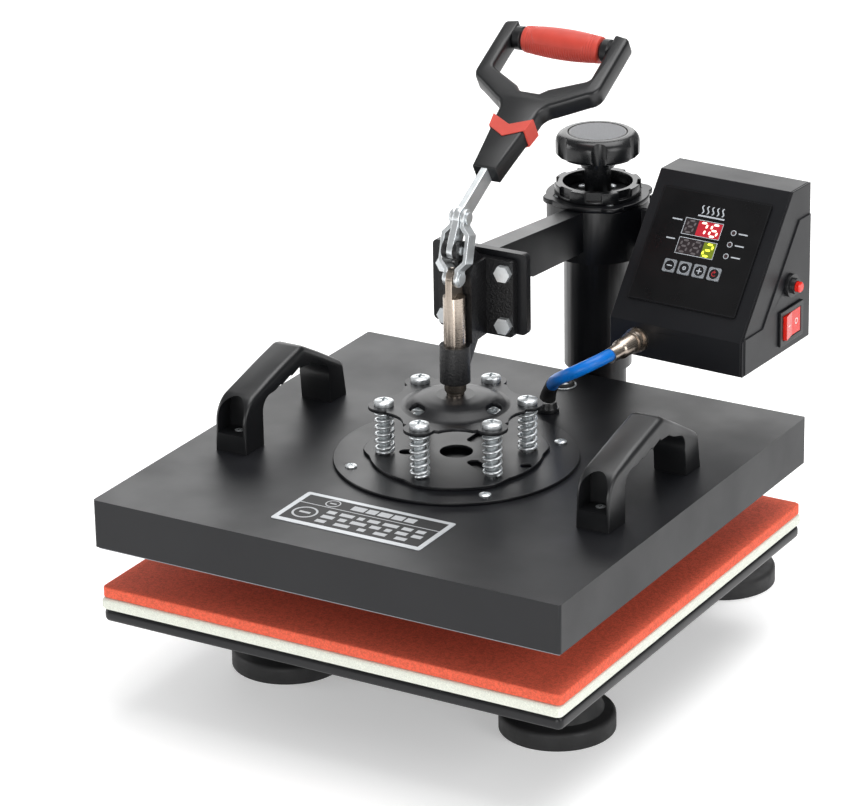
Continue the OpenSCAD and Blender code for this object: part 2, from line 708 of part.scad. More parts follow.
box_profile = [[0, 0], [0, box_lip], [box_slope_d, box_h], [box_d, box_h], [box_d, 0]];
box_hollow = [[1.5, 1.5], [1.5, box_lip - 0.6], [box_slope_d + 0.8, box_h - 1.5], [box_d - 1.5, box_h - 1.5],
    [box_d - 1.5, 1.5]];

module box_prism(x0, x1) translate([x0, 0, 0]) rotate([90, 0, 90]) linear_extrude(x1 - x0) children();

module socket_hole(r) translate([23.3, 0, 13]) rotate([90, 0, 0]) cylinder(r = r, h = 60, center = true);

breaker_at = [69, 50.5];
rocker_at = [69.5, 20.5];

module control_housing() color("#26272a") {
    difference() {
        at_box() box_prism(0, box_w - 1.5) polygon(box_profile);
        at_box() box_prism(1.5, box_w) polygon(box_hollow);
        at_box() socket_hole(7.1);
        at_slope() translate([27, 39, -8]) cube([54, 50, 20]);
        at_box() translate([30, box_d - 5, 12]) cube([28, 10, 20]);
    }
}

module side_cover() color("#2b2c2f") at_box() difference() {
    union() {
        box_prism(box_w - 1.5, box_w) polygon(box_profile);
        box_prism(box_w - 0.01, box_w + 1.2)
            polygon([[2.5, 1], [2.5, 29], [29, 29], [83, 97], [box_d - 1, 97], [box_d - 1, 1]]);
        box_prism(box_w - 8, box_w - 1.5) translate([box_d - 12, 3]) square([8, 8]);
    }
    translate([0, breaker_at.x, breaker_at.y]) rotate([0, 90, 0]) cylinder(r = 6.1, h = 300);
    translate([0, rocker_at.x - 15.3, rocker_at.y - 11.4]) cube([300, 30.6, 22.8]);
}

module front_panel() color("#101113") at_slope() difference() {
    translate([54, 62, 0.02]) linear_extrude(panel_t) rounded_square(91, 90, 2);
    for (x = key_x) translate([x, key_s, -1]) linear_extrude(5) square(key_w + 0.6, center = true);
    translate([34.6, 57.3, -1]) cube([31.6, 28.4, 5]);
    for (s = [62, 71.2, 80.4]) translate([76.3, s, -1]) cylinder(r = 1.7, h = 5);
}

module display_module() color("#3a0d0d") at_slope() {
    translate([34.8, 57.5, -4.9]) cube([31.2, 28, 5.8]);
    for (s = [62, 71.2, 80.4]) translate([76.3, s, -4.9]) cylinder(r = 1.5, h = 6.4);
}

module circuit_board() color("#1f6b3a") at_slope() {
    translate([20, 36, -6.6]) cube([70, 60, 1.6]);
    for (x = key_x) translate([x - 2.5, key_s - 2.5, -5]) cube([5, 5, 2]);
}

module panel_key(i) at_slope() translate([key_x[i], key_s, 0]) {
    translate([0, 0, -1.2]) linear_extrude(3) rounded_square(key_w, key_w, 1.2);
    translate([0, 0, -1.9]) cylinder(r = 2, h = 1.5);
}

module minus_key() color("#d9dbdd") panel_key(0);

module set_key() color("#d9dbdd") panel_key(1);

module plus_key() color("#d9dbdd") panel_key(2);

module stop_key() color("#d9dbdd") panel_key(3);

module at_breaker() at_box() translate([box_w + 1.2, breaker_at.x, breaker_at.y])
    rotate([0, 90, 0]) children();

module breaker_body() color("#161618") at_breaker() difference() {
    union() {
        translate([0, 0, 0.02]) cylinder(r = 8.8, h = 2.8);
        translate([0, 0, -26]) cylinder(r = 5.9, h = 32.2);
    }
    translate([0, 0, -8]) cylinder(r = 4.3, h = 20);
}

module breaker_button() color("#c8201c") at_breaker() {
    translate([0, 0, -4]) cylinder(r = 4, h = 13);
    translate([0, 0, 9]) cylinder(r1 = 4, r2 = 3.2, h = 0.8);
}

module at_rocker() at_box() translate([box_w + 1.2, rocker_at.x, rocker_at.y]) children();

module rocker_frame() color("#161618") at_rocker() difference() {
    union() {
        translate([0.02, -17.3, -13.6]) cube([2, 34.6, 27.2]);
        translate([-22, -15.1, -11.2]) cube([23, 30.2, 22.4]);
    }
    translate([-10, -13.6, -9.7]) cube([20, 27.2, 19.4]);
    translate([-2, 0, 0]) cylinder(r = 1.55, h = 30, center = true);
}

// rocker with two flat flanks, pressed in at its far end
module rocker_switch() color("#d8261e") at_rocker() difference() {
    translate([-2, 0, 0]) rotate([0, 0, 6]) {
        translate([0, 0, -9.3]) linear_extrude(18.6) polygon([
            [-3.5, -3], [-3.5, 3], [2, 12.5], [5, 12.5], [3.8, 0], [5, -12.5], [2, -12.5]
        ]);
        cylinder(r = 1.5, h = 22, center = true);
    }
}

module power_inlet() color("#161618") at_box() difference() {
    union() {
        translate([27, box_d + 0.02, 9]) cube([34, 2.5, 26]);
        translate([30.2, box_d - 22, 12.2]) cube([27.6, 23, 19.6]);
    }
    translate([32.5, box_d - 14, 15]) cube([23, 30, 14]);
}

module at_socket() at_box() translate([23.3, 0, 13]) rotate([90, 0, 0]) children();

module cable_socket() color("#d5d0c4") at_socket() {
    translate([0, 0, -16]) cylinder(r = 7, h = 17);
    translate([0, 0, 0.02]) cylinder(r = 9.5, h = 2.4);
    translate([0, 0, 2]) cylinder(r = 7.6, h = 5);
}

module cable_plug() color("#d5d0c4") at_socket() {
    translate([0, 0, 7.02]) cylinder(r = 8.4, h = 2.5);
    translate([0, 0, 9.5]) cylinder(r = 7.2, h = 15);
    translate([0, 0, 24.5]) cylinder(r1 = 7.2, r2 = 5.6, h = 3);
    translate([0, 0, 27.5]) cylinder(r = 5.6, h = 12);
}

// ---------- heater cable ----------

function unit(v) = v / norm(v);
function smooth_at(p, t) = let (
    n = len(p) - 1,
    i = min(floor(t), n - 1),
    u = t - i,
    p0 = p[max(i - 1, 0)], p1 = p[i], p2 = p[i + 1], p3 = p[min(i + 2, n)]
) 0.5 * (2 * p1 + (p2 - p0) * u + (2 * p0 - 5 * p1 + 4 * p2 - p3) * u * u
    + (3 * p1 - p0 - 3 * p2 + p3) * u * u * u);

module swept_tube(route, r, sides, steps) {
    line = [for (i = [0:steps]) smooth_at(route, (len(route) - 1) * i / steps)];
    side_dir = [for (i = [0:steps]) unit(cross(
        unit(line[min(i + 1, steps)] - line[max(i - 1, 0)]), [0.3, 0.2, 1]))];
    up_dir = [for (i = [0:steps]) unit(cross(
        side_dir[i], unit(line[min(i + 1, steps)] - line[max(i - 1, 0)])))];
    points = [for (i = [0:steps], k = [0:sides - 1])
        line[i] + r * (side_dir[i] * cos(360 * k / sides) + up_dir[i] * sin(360 * k / sides))];
    walls = [for (i = [0:steps - 1], k = [0:sides - 1]) let (k2 = (k + 1) % sides)
        [i * sides + k, i * sides + k2, (i + 1) * sides + k2, (i + 1) * sides + k]];
    ends = [[for (k = [sides - 1:-1:0]) k], [for (k = [0:sides - 1]) steps * sides + k]];
    polyhedron(points = points, faces = concat(walls, ends), convexity = 6);
}

module heater_cable() color("#1560c8") at_press(deck_z) swept_tube(cable_route, cable_r, 10, 30);

// ---------- nodes ----------

base_frame();
rear_post();
rubber_feet();
base_fasteners();
bed_plate();
felt_pad();
silicone_pad();
thrust_bush();
head_sleeve();
swing_arm();
sleeve_top_plate();
top_plate_bolts();
plunger_bracket();
bracket_bolts();
pivot_pin();
box_bracket();
lock_ring();
pressure_knob();
knob_cap();
pressure_screw();
handle_bar();
handle_body();
grip_sleeve();
chevron_band();
crank_pin();
link_left();
link_right();
slider_pin();
plunger_rod();
plunger_nut();
spider_plate();
suspension_springs();
suspension_screws();
mounting_plate();
flange_disc();
platen_screws();
platen_cover();
heat_plate();
insulation_mat();
side_handle_left();
side_handle_right();
rating_label();
cable_gland();
control_housing();
side_cover();
front_panel();
display_module();
circuit_board();
minus_key();
set_key();
plus_key();
stop_key();
breaker_body();
breaker_button();
rocker_frame();
rocker_switch();
power_inlet();
cable_socket();
cable_plug();
heater_cable();
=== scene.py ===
"""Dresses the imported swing-away heat press: finishes on its metal and plastic nodes, and its pads, springs,
cable, grips, display and markings built as pieces of their own. Metres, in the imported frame."""

import json
import math

import bpy
from mathutils import Matrix, Vector, noise


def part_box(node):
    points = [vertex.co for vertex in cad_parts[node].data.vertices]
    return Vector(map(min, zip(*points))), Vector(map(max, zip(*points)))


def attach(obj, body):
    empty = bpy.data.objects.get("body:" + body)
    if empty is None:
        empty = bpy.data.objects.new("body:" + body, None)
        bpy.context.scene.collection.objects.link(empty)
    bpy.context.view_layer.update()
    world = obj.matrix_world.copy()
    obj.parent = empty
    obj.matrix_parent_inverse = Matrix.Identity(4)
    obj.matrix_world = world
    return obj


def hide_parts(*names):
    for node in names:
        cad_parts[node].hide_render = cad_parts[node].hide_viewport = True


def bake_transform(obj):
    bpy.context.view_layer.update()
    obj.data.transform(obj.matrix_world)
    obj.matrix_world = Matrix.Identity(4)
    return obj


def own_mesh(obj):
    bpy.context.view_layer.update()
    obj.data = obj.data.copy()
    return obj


bl_info = {
    "name": "Swing-Away Heat Press",
    "version": (1, 0, 0),
    "blender": (4, 5, 0),
    "location": "3D View > Sidebar > Heat Press",
    "description": "Builds the looks of a swing-away heat press around its packed frame",
    "category": "Add Mesh",
}

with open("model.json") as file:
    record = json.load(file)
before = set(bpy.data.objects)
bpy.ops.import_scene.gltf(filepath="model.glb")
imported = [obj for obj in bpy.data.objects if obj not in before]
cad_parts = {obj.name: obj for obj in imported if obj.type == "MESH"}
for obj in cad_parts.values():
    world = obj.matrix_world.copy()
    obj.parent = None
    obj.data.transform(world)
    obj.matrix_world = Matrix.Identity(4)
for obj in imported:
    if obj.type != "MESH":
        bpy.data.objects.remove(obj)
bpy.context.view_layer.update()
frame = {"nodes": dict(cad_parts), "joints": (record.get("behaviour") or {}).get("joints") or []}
MM = 0.001
JOINTS = {joint["name"]: joint for joint in frame["joints"]}

# where the sub-assemblies stand, from the record's joints and the nodes' own boxes
PIVOT = Vector(JOINTS["handle_swing"]["pos_m"])
CRANK = Vector(JOINTS["link_swing"]["pos_m"])
DECK_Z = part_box("platen_cover")[1].z
BOX_TURN = math.radians(-2.8)
BOX_FRAME = Matrix.Translation((0.060, 0.085, DECK_Z + 0.052)) @ Matrix.Rotation(BOX_TURN, 4, "Z")
SLOPE_FRAME = (
    BOX_FRAME @ Matrix.Translation((0, 0, 0.0266)) @ Matrix.Rotation(math.atan2(94.2, 74.0), 4, "X")
)
HANDLE_FRAME = Matrix.Translation(CRANK) @ Matrix.Rotation(math.radians(29.2), 4, "X")
QUARTER_X, QUARTER_Y = (Matrix.Rotation(math.radians(90), 4, axis) for axis in "XY")
GRIP_OUT = 0.177  # from the crank pin to the middle of the grip

# the cable's route in millimetres, from the plug down to the gland, measured from the press axis and the deck
CABLE_ROUTE = [
    (81, 85.4, 65.5), (80.8, 77, 66), (79, 68.5, 65.6), (74.5, 61.5, 63.4), (68, 58, 59.8),
    (60.8, 58.6, 55.6), (54, 63, 51), (47.2, 70, 46), (40.4, 78.6, 40.8), (33.8, 88, 35.4),
    (27.4, 97.2, 29.4), (21.6, 104.6, 22.8), (17.2, 109, 16.2), (15, 110.4, 10.3),
]


def linear(code):
    """An sRGB hex colour as linear red, green and blue."""
    parts = [int(code[i : i + 2], 16) / 255 for i in (1, 3, 5)]
    return tuple(c / 12.92 if c <= 0.04045 else ((c + 0.055) / 1.055) ** 2.4 for c in parts)


# ---------- sizes and colours a user would change ----------


def length(name, description, default):
    unit = {"unit": "LENGTH", "subtype": "DISTANCE", "precision": 5}
    return bpy.props.FloatProperty(name=name, description=description, default=default, min=0, **unit)


def colour(name, description, code):
    kind = {"size": 3, "min": 0, "max": 1, "subtype": "COLOR"}
    return bpy.props.FloatVectorProperty(name=name, description=description, default=linear(code), **kind)


class HeatPressSizes(bpy.types.PropertyGroup):
    """Sizes of the pieces built around the frame."""

    pad_corner: length("Pad corner", "Corner radius of both pads", 0.004)
    pad_edge: length("Pad edge", "Rounding of the cut edges of the silicone pad", 0.0012)
    felt_edge: length("Felt edge", "Rounding of the cut edges of the felt", 0.0022)
    cable_diameter: length("Cable diameter", "Outside diameter of the heater cable", 0.0095)
    spring_wire: length("Spring wire", "Diameter of the suspension springs' wire", 0.0022)
    spring_radius: length("Spring radius", "Middle radius of the suspension springs", 0.0064)
    rib_pitch: length("Rib pitch", "Distance between the ribs on the grip", 0.0020)
    rib_depth: length("Rib depth", "Depth of the grooves on the grip", 0.0006)


class HeatPressColours(bpy.types.PropertyGroup):
    """Colours of the finishes."""

    coat: colour("Powder coat", "Textured black powder coat", "#0f1014")
    cast: colour("Cast paint", "Black paint on the castings", "#0c0c0e")
    plastic: colour("Moulded plastic", "Black moulded plastic", "#101113")
    zinc: colour("Zinc plate", "Bright zinc plating", "#e4e8ea")
    nickel: colour("Nickel plate", "Satin nickel plating", "#b3a79b")
    accent: colour("Accent orange", "Orange of the grip and the neck band", "#c63f30")
    silicone: colour("Silicone sponge", "Orange silicone pad", "#dd5f45")
    felt: colour("Felt", "White needled felt", "#eef1e4")
    rubber: colour("Foot rubber", "Black rubber of the feet", "#101011")
    cable: colour("Cable sleeve", "Blue silicone sleeve", "#0072d0")
    signal: colour("Signal red", "Red switch plastic", "#dc2419")


# ---------- materials ----------


def add_node(tree, kind, settings=None, sockets=None, links=None):
    """Adds one node, sets its properties and sockets, and joins sockets to (node, output) pairs."""
    new = tree.nodes.new(kind)
    for key, value in (settings or {}).items():
        setattr(new, key, value)
    for key, value in (sockets or {}).items():
        new.inputs[key].default_value = value
    for key, (source, output) in (links or {}).items():
        tree.links.new(source.outputs[output], new.inputs[key])
    return new


def tint(base, factor):
    return tuple(min(1.0, c * factor) for c in base) + (1,)


class Finish:
    """A new material, and the ways its colour, gloss and surface vary. A source is a (node, output) pair."""

    def __init__(self, name, base, **sockets):
        self.base = base
        self.material = bpy.data.materials.new(name)
        self.material.use_nodes = True
        self.tree = self.material.node_tree
        self.shader = self.tree.nodes["Principled BSDF"]
        self.shader.inputs["Base Color"].default_value = (*base, 1)
        for key, value in sockets.items():
            self.shader.inputs[key.replace("_", " ")].default_value = value
        self.place = (self.add("ShaderNodeTexCoord"), "Object")

    def add(self, kind, settings=None, sockets=None, links=None):
        return add_node(self.tree, kind, settings, sockets, links)

    def noise(self, scale, detail, place=None):
        """Soft clouds, scale of them to the metre."""
        sockets = {"Scale": scale, "Detail": detail}
        return self.add("ShaderNodeTexNoise", sockets=sockets, links={"Vector": place or self.place}), "Fac"

    def cells(self, scale):
        """Small cells, scale of them to the metre."""
        links = {"Vector": self.place}
        return self.add("ShaderNodeTexVoronoi", sockets={"Scale": scale}, links=links), "Distance"

    def stretched(self, along, detail=4.0):
        """Clouds drawn out by a factor for each axis."""
        spread = self.add("ShaderNodeMapping", sockets={"Scale": along}, links={"Vector": self.place})
        return self.noise(60.0, detail, (spread, 0))

    def shade(self, source, low, high, start=0.3, stop=0.7):
        """Colour runs between two shades of the base as the source runs from start to stop."""
        ramp = self.add("ShaderNodeValToRGB", links={"Fac": source})
        for k, (position, factor) in enumerate(((start, low), (stop, high))):
            ramp.color_ramp.elements[k].position = position
            ramp.color_ramp.elements[k].color = tint(self.base, factor)
        self.tree.links.new(ramp.outputs["Color"], self.shader.inputs["Base Color"])
        return ramp

    def gloss(self, source, low, high, start=0.3, stop=0.7):
        """Roughness runs from low to high as the source runs from start to stop."""
        sockets = {1: start, 2: stop, 3: low, 4: high}
        spread = self.add("ShaderNodeMapRange", sockets=sockets, links={0: source})
        self.tree.links.new(spread.outputs[0], self.shader.inputs["Roughness"])

    def bump(self, source, strength, depth):
        """The source raises the surface, by up to this depth in metres."""
        sockets = {"Strength": strength, "Distance": depth}
        bump = self.add("ShaderNodeBump", sockets=sockets, links={"Height": source})
        self.tree.links.new(bump.outputs[0], self.shader.inputs["Normal"])

    def mottle(self, size, low, high, detail=3.0):
        """Colour drifts between two shades of the base over patches of this size in metres."""
        cloud = self.noise(1 / size, detail)
        return cloud, self.shade(cloud, low, high)

    def uneven_gloss(self, size, low, high):
        """Roughness drifts between two values over patches of this size in metres."""
        self.gloss(self.noise(1 / size, 4.0), low, high)


def polyester_powder_coat(name, base, grain=0.0009, depth=0.00004, low=0.36, high=0.46):
    """Polyester powder coat, sprayed and baked on sheet steel."""
    # a fine orange peel breaks up the reflections, and the gloss drifts a little over the sheet
    coat = Finish(name, base, IOR=1.43)
    coat.mottle(0.03, 0.93, 1.07)
    coat.uneven_gloss(0.05, low, high)
    # 0.5 mm in the real coat, drawn nearly twice as coarse so that it shows
    coat.bump(coat.noise(1 / grain, 2.0), 0.5, depth)
    return coat.material


def painted_casting(name, base):
    """Sand-cast iron under black enamel."""
    # sand grain shows as 1.5 mm pebbling that catches small bright points
    paint = Finish(name, base, IOR=1.5, Roughness=0.38)
    paint.mottle(0.012, 0.85, 1.2)
    paint.bump(paint.noise(1 / 0.0016, 3.0), 1.0, 0.0005)
    return paint.material


def bright_zinc(name, base):
    """Barrel zinc plate with a clear passivate over cold-formed steel."""
    # cool silver with cloudy patches and shallow tumbling marks, so highlights are soft at their edges
    plate = Finish(name, base, Metallic=0.82)
    plate.mottle(0.006, 0.95, 1.02)
    plate.uneven_gloss(0.006, 0.3, 0.38)
    plate.bump(plate.noise(1 / 0.0008, 3.0), 0.2, 0.00002)
    return plate.material


def turned_nickel(name, base, along=(1, 1, 40)):
    """Steel turned and ground round its length, then nickel plated."""
    # fine rings round the rod stretch the highlights into a warm vertical band
    plate = Finish(name, base, Metallic=1.0)
    rings = plate.stretched(along)
    plate.gloss(rings, 0.24, 0.34)
    plate.bump(rings, 0.15, 0.00001)
    return plate.material


def moulded_plastic(name, base, low, high, grain=0.0006, depth=0.00003):
    """Glass-filled nylon or ABS, injection moulded in a spark-eroded tool."""
    # an even fine grain keeps a soft sheen, brighter where hands have rubbed it
    moulding = Finish(name, base, IOR=1.53)
    moulding.mottle(0.02, 0.94, 1.08)
    moulding.uneven_gloss(0.03, low, high)
    moulding.bump(moulding.cells(1 / grain), 0.3, depth)
    return moulding.material


def soft_grip_rubber(name, base):
    """Thermoplastic rubber, moulded over the handle's core."""
    # soft, slightly dusty orange with broad dull highlights
    rubber = Finish(name, base, IOR=1.5, Sheen_Weight=0.12, Sheen_Roughness=0.5)
    rubber.mottle(0.01, 0.93, 1.05)
    rubber.uneven_gloss(0.006, 0.46, 0.58)
    rubber.bump(rubber.noise(1 / 0.0007, 2.0), 0.3, 0.00005)
    return rubber.material


def moulded_rubber(name, base):
    """Black natural rubber, compression moulded."""
    # a dull skin with a pale bloom of dust in its clouds
    rubber = Finish(name, base, IOR=1.52)
    rubber.mottle(0.015, 0.85, 1.5)
    rubber.uneven_gloss(0.01, 0.5, 0.68)
    rubber.bump(rubber.noise(1 / 0.001, 3.0), 0.35, 0.0001)
    return rubber.material


def silicone_sponge(name, base):
    """Closed-cell silicone sponge, cast in sheet and cut."""
    # matt orange, freckled with pores about a millimetre apart: darker in their pits as painted shade,
    # lighter on the cell walls between them
    sponge = Finish(name, base, IOR=1.41, Roughness=0.82)
    mixed = {0: sponge.cells(1 / 0.0011), 2: sponge.noise(1 / 0.0025, 6.0)}
    pores_and_pit_shade = sponge.add("ShaderNodeMath", {"operation": "MULTIPLY_ADD"}, {1: 0.55}, mixed)
    # the pores' sunken pits are painted darker, as painted shade
    sponge.shade((pores_and_pit_shade, 0), 0.72, 1.16, 0.45, 0.95)
    sponge.bump((pores_and_pit_shade, 0), 0.55, 0.00025)
    return sponge.material


def needled_felt(name, base):
    """White aramid and polyester felt, needle punched."""
    # a woolly face with fibres running all ways, darker in the hollows between them as painted shade
    felt = Finish(name, base, IOR=1.5, Roughness=0.95, Sheen_Weight=0.35)
    flow, _ = felt.noise(1 / 0.006, 2.0)
    bent = felt.add(
        "ShaderNodeVectorMath",
        {"operation": "MULTIPLY_ADD"},
        {1: (0.004, 0.004, 0.004)},
        {0: (flow, "Color"), 2: felt.place},
    )
    fibres_and_hollow_shade = felt.add(
        "ShaderNodeTexWave",
        {"bands_direction": "DIAGONAL"},
        {"Scale": 260.0, "Distortion": 14.0, "Detail": 3.0, "Detail Scale": 2.5},
        {"Vector": (bent, 0)},
    )
    # the colour darkens where the fibres dip: painted shade in the hollows
    felt.shade((fibres_and_hollow_shade, "Fac"), 0.84, 1.04, 0.0, 1.0)
    felt.bump((fibres_and_hollow_shade, "Fac"), 0.6, 0.0003)
    return felt.material


def milled_aluminium(name):
    """Cast aluminium, face-milled and coated with a thin grey non-stick layer."""
    # long fine cutter lines across a soft grey shine
    plate = Finish(name, linear("#8d8f93"), Metallic=0.9)
    lines = plate.add(
        "ShaderNodeTexWave",
        {"bands_direction": "X"},
        {"Scale": 120.0, "Distortion": 1.5, "Detail": 2.0},
        {"Vector": plate.place},
    )
    plate.gloss((lines, "Fac"), 0.34, 0.46, 0.0, 1.0)
    plate.bump((lines, "Fac"), 0.2, 0.00004)
    plate.mottle(0.05, 0.92, 1.05)
    return plate.material


def ceramic_wool(name):
    """Pressed ceramic fibre blanket."""
    # chalky white fluff
    wool = Finish(name, linear("#d8d3c4"), Roughness=1.0)
    fluff, _ = wool.mottle(0.004, 0.8, 1.1, 8.0)
    wool.bump(fluff, 0.8, 0.001)
    return wool.material


def brushed_foil(name, code, metallic, low=0.34, high=0.46):
    """Aluminium foil, brushed one way and printed."""
    # streaks along X keep the silver from reading as flat grey
    foil = Finish(name, linear(code), Metallic=metallic)
    brushed = foil.stretched((1, 30, 30))
    foil.gloss(brushed, low, high)
    foil.shade(brushed, 0.9, 1.08)
    return foil.material


def polished_film(name, code, low=0.26, high=0.34):
    """Polyester film or clear-coated plastic, smooth from the roll."""
    # nearly mirror-smooth, with faint smears in the shine
    film = Finish(name, linear(code), IOR=1.45)
    film.mottle(0.02, 0.95, 1.05)
    film.uneven_gloss(0.02, low, high)
    return film.material


def printed_ink(name, code):
    """Screen-printed ink, a thin slightly rough layer."""
    # dull against the film, a little uneven where the mesh left it
    ink = Finish(name, linear(code), IOR=1.5, Roughness=0.55)
    ink.mottle(0.0015, 0.92, 1.05)
    return ink.material


def lit_segment(name, code, strength):
    """Light-emitting diode behind a diffusing segment."""
    # the light is slightly cloudy from the diffuser
    lamp = Finish(name, linear(code), Roughness=0.4)
    lamp.shader.inputs["Emission Strength"].default_value = strength
    _, ramp = lamp.mottle(0.002, 0.9, 1.1)
    lamp.tree.links.new(ramp.outputs["Color"], lamp.shader.inputs["Emission Color"])
    return lamp.material


def silicone_sleeving(name, base):
    """Extruded silicone rubber sleeve over glass-insulated wires."""
    # bright, slightly waxy blue with a long soft highlight and faint extrusion ripples
    sleeve = Finish(name, base, IOR=1.41, Roughness=0.36, Subsurface_Weight=0.08, Subsurface_Scale=0.002)
    sleeve.mottle(0.01, 0.88, 1.08)
    sleeve.bump(sleeve.noise(1 / 0.0018, 2.0), 0.3, 0.0001)
    return sleeve.material


def solder_mask(name):
    """Glass-epoxy board under green solder mask."""
    # glossy green with the weave of the glass just showing
    mask = Finish(name, linear("#1f6b3a"), IOR=1.55, Roughness=0.3)
    mask.mottle(0.001, 0.85, 1.1)
    return mask.material


def speckled_plate(name):
    """Printed vinyl disc with a flake finish."""
    # grey field with fine light and dark flecks
    vinyl = Finish(name, linear("#4b4d51"), IOR=1.5, Roughness=0.42)
    vinyl.shade(vinyl.noise(1 / 0.0009, 1.0), 0.55, 1.9, 0.35, 0.68)
    return vinyl.material


def studio_paper(name):
    """Seamless white background paper."""
    # nearly shadeless white, with the faintest tooth
    paper = Finish(name, linear("#f4f4f4"), Roughness=0.9)
    paper.shader.inputs["Emission Color"].default_value = (1, 1, 1, 1)
    paper.shader.inputs["Emission Strength"].default_value = 0.34
    paper.mottle(0.4, 0.99, 1.01)
    return paper.material


# ---------- mesh building ----------


def mesh_object(name, points, faces, material=None):
    """A new mesh object in the scene, not yet part of the press."""
    mesh = bpy.data.meshes.new(name)
    mesh.from_pydata([tuple(p) for p in points], [], faces)
    if material:
        mesh.materials.append(material)
    thing = bpy.data.objects.new(name, mesh)
    bpy.context.scene.collection.objects.link(thing)
    return thing


def make_piece(name, points, faces, material, body, slot, smooth=True, sharp=None):
    """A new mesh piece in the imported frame, riding on a body; edges past sharp degrees stay crisp."""
    piece = mesh_object(name, points, faces, material)
    piece.data.validate()
    piece.data.polygons.foreach_set("use_smooth", [smooth] * len(piece.data.polygons))
    if sharp:
        piece.data.set_sharp_from_angle(angle=math.radians(sharp))
    if body:
        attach(piece, body)
    return piece


def loft(rings, closed=True, capped=True):
    """Faces and points that join rings with the same number of points, and close both ends."""
    count = len(rings[0])
    points = [p for ring in rings for p in ring]
    faces = []
    for i in range(len(rings) - 1):
        for k in range(count if closed else count - 1):
            k2 = (k + 1) % count
            faces.append((i * count + k, i * count + k2, (i + 1) * count + k2, (i + 1) * count + k))
    if capped:
        faces.append(tuple(range(count - 1, -1, -1)))
        faces.append(tuple(range((len(rings) - 1) * count, len(rings) * count)))
    return points, faces


def joined(*parts):
    """Several meshes of points and faces as one."""
    points, faces = [], []
    for more_points, more_faces in parts:
        faces += [tuple(k + len(points) for k in face) for face in more_faces]
        points += more_points
    return points, faces


def span(name):
    """The low corner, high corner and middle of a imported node's box."""
    low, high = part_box(name)
    return low, high, (low + high) / 2


def circle(centre, side, up, radius, sides):
    """Points round a centre, in the plane of two unit directions."""
    turns = [2 * math.pi * k / sides for k in range(sides)]
    return [centre + radius * (math.cos(a) * side + math.sin(a) * up) for a in turns]


def rounded_outline(half_w, half_d, radius, step=0.006):
    """Points round a rectangle with round corners, evenly spaced along its sides."""
    outline = []
    for cx, cy, start in ((1, 1, 0), (-1, 1, 90), (-1, -1, 180), (1, -1, 270)):
        centre = Vector((cx * (half_w - radius), cy * (half_d - radius), 0))
        for i in range(7):
            angle = math.radians(start + 15 * i)
            outline.append(centre + radius * Vector((math.cos(angle), math.sin(angle), 0)))
    dense = []
    for a, b in zip(outline, outline[1:] + outline[:1]):
        pieces = max(1, int((b - a).length / step))
        dense += [a.lerp(b, i / pieces) for i in range(pieces)]
    return dense


def round_bar(start, end, radius, sides=16):
    """A bar with slightly rounded rims between two points."""
    axis = (end - start).normalized()
    side = axis.orthogonal().normalized()
    up = axis.cross(side)
    rim = min(radius * 0.25, (end - start).length * 0.25)
    reach = (end - start).length
    stations = ((0, radius - rim), (rim, radius), (reach - rim, radius), (reach, radius - rim))
    return loft([circle(start + at * axis, side, up, r, sides) for at, r in stations])


def sweep(path, radius_at, sides=14):
    """A tube of varying radius along a path of points."""
    rings = []
    side = (path[1] - path[0]).orthogonal().normalized()
    for i, point in enumerate(path):
        ahead = (path[min(i + 1, len(path) - 1)] - path[max(i - 1, 0)]).normalized()
        side = (side - side.dot(ahead) * ahead).normalized()
        up = ahead.cross(side)
        rings.append(circle(point, side, up, radius_at(i / (len(path) - 1)), sides))
    return loft(rings)


def revolve(profile, steps, place):
    """A profile of (radius, height) pairs turned round Z, then placed."""
    return loft([[place @ Vector((x, y, h)) for x, y in disc(0, 0, r, steps)] for r, h in profile])


def plates(outlines, thickness, place):
    """Flat shapes of (x, y) points given a thickness along Z, then placed, as one mesh."""
    points, faces = [], []
    for outline in outlines:
        n, base = len(outline), len(points)
        points += [place @ Vector((x, y, 0)) for x, y in outline]
        points += [place @ Vector((x, y, thickness)) for x, y in outline]
        faces.append(tuple(base + k for k in range(n - 1, -1, -1)))
        faces.append(tuple(base + n + k for k in range(n)))
        faces += [(base + k, base + (k + 1) % n, base + n + (k + 1) % n, base + n + k) for k in range(n)]
    return points, faces


def arc(cx, cy, radius, start, end, steps):
    """Points in millimetres along an arc, its ends given in degrees."""
    turns = [math.radians(start + (end - start) * k / steps) for k in range(steps + 1)]
    return [(cx + radius * math.cos(a), cy + radius * math.sin(a)) for a in turns]


def rounded_plate(outline, half, edges, place):
    """A flat shape in millimetres, twice half thick, its two rims rounded by one radius for each point."""
    corners = [Vector(p) for p in outline]
    n = len(corners)
    turning = sum(corners[k].cross(corners[(k + 1) % n]) for k in range(n))
    inward = []
    for k in range(n):
        before = (corners[k] - corners[k - 1]).normalized()
        after = (corners[(k + 1) % n] - corners[k]).normalized()
        side_a, side_b = Vector((-before.y, before.x)), Vector((-after.y, after.x))
        mitre = (side_a + side_b) / max(0.5, 1 + side_a.dot(side_b))
        inward.append(mitre if turning > 0 else -mitre)
    rings = []
    for sign, quarter in ((-1, (0, 20, 40, 60, 90)), (1, (90, 60, 40, 20, 0))):
        for degrees in quarter:
            a = math.radians(degrees)
            ring = []
            for corner, way, r in zip(corners, inward, edges):
                at = corner + way * r * (1 - math.sin(a))
                height = sign * (half - r * (1 - math.cos(a)))
                ring.append(place @ Vector((at.x * MM, at.y * MM, height * MM)))
            rings.append(ring)
    return loft(rings)


def strip(x0, y0, x1, y1):
    """A rectangle between two corners."""
    return [(x0, y0), (x1, y0), (x1, y1), (x0, y1)]


def hoop(x, y, outer, inner, steps=28):
    """A flat ring as quads that share no edges with other shapes."""
    inside, outside = arc(x, y, inner, 0, 360, steps), arc(x, y, outer, 0, 360, steps)
    return [[inside[k], outside[k], outside[k + 1], inside[k + 1]] for k in range(steps)]


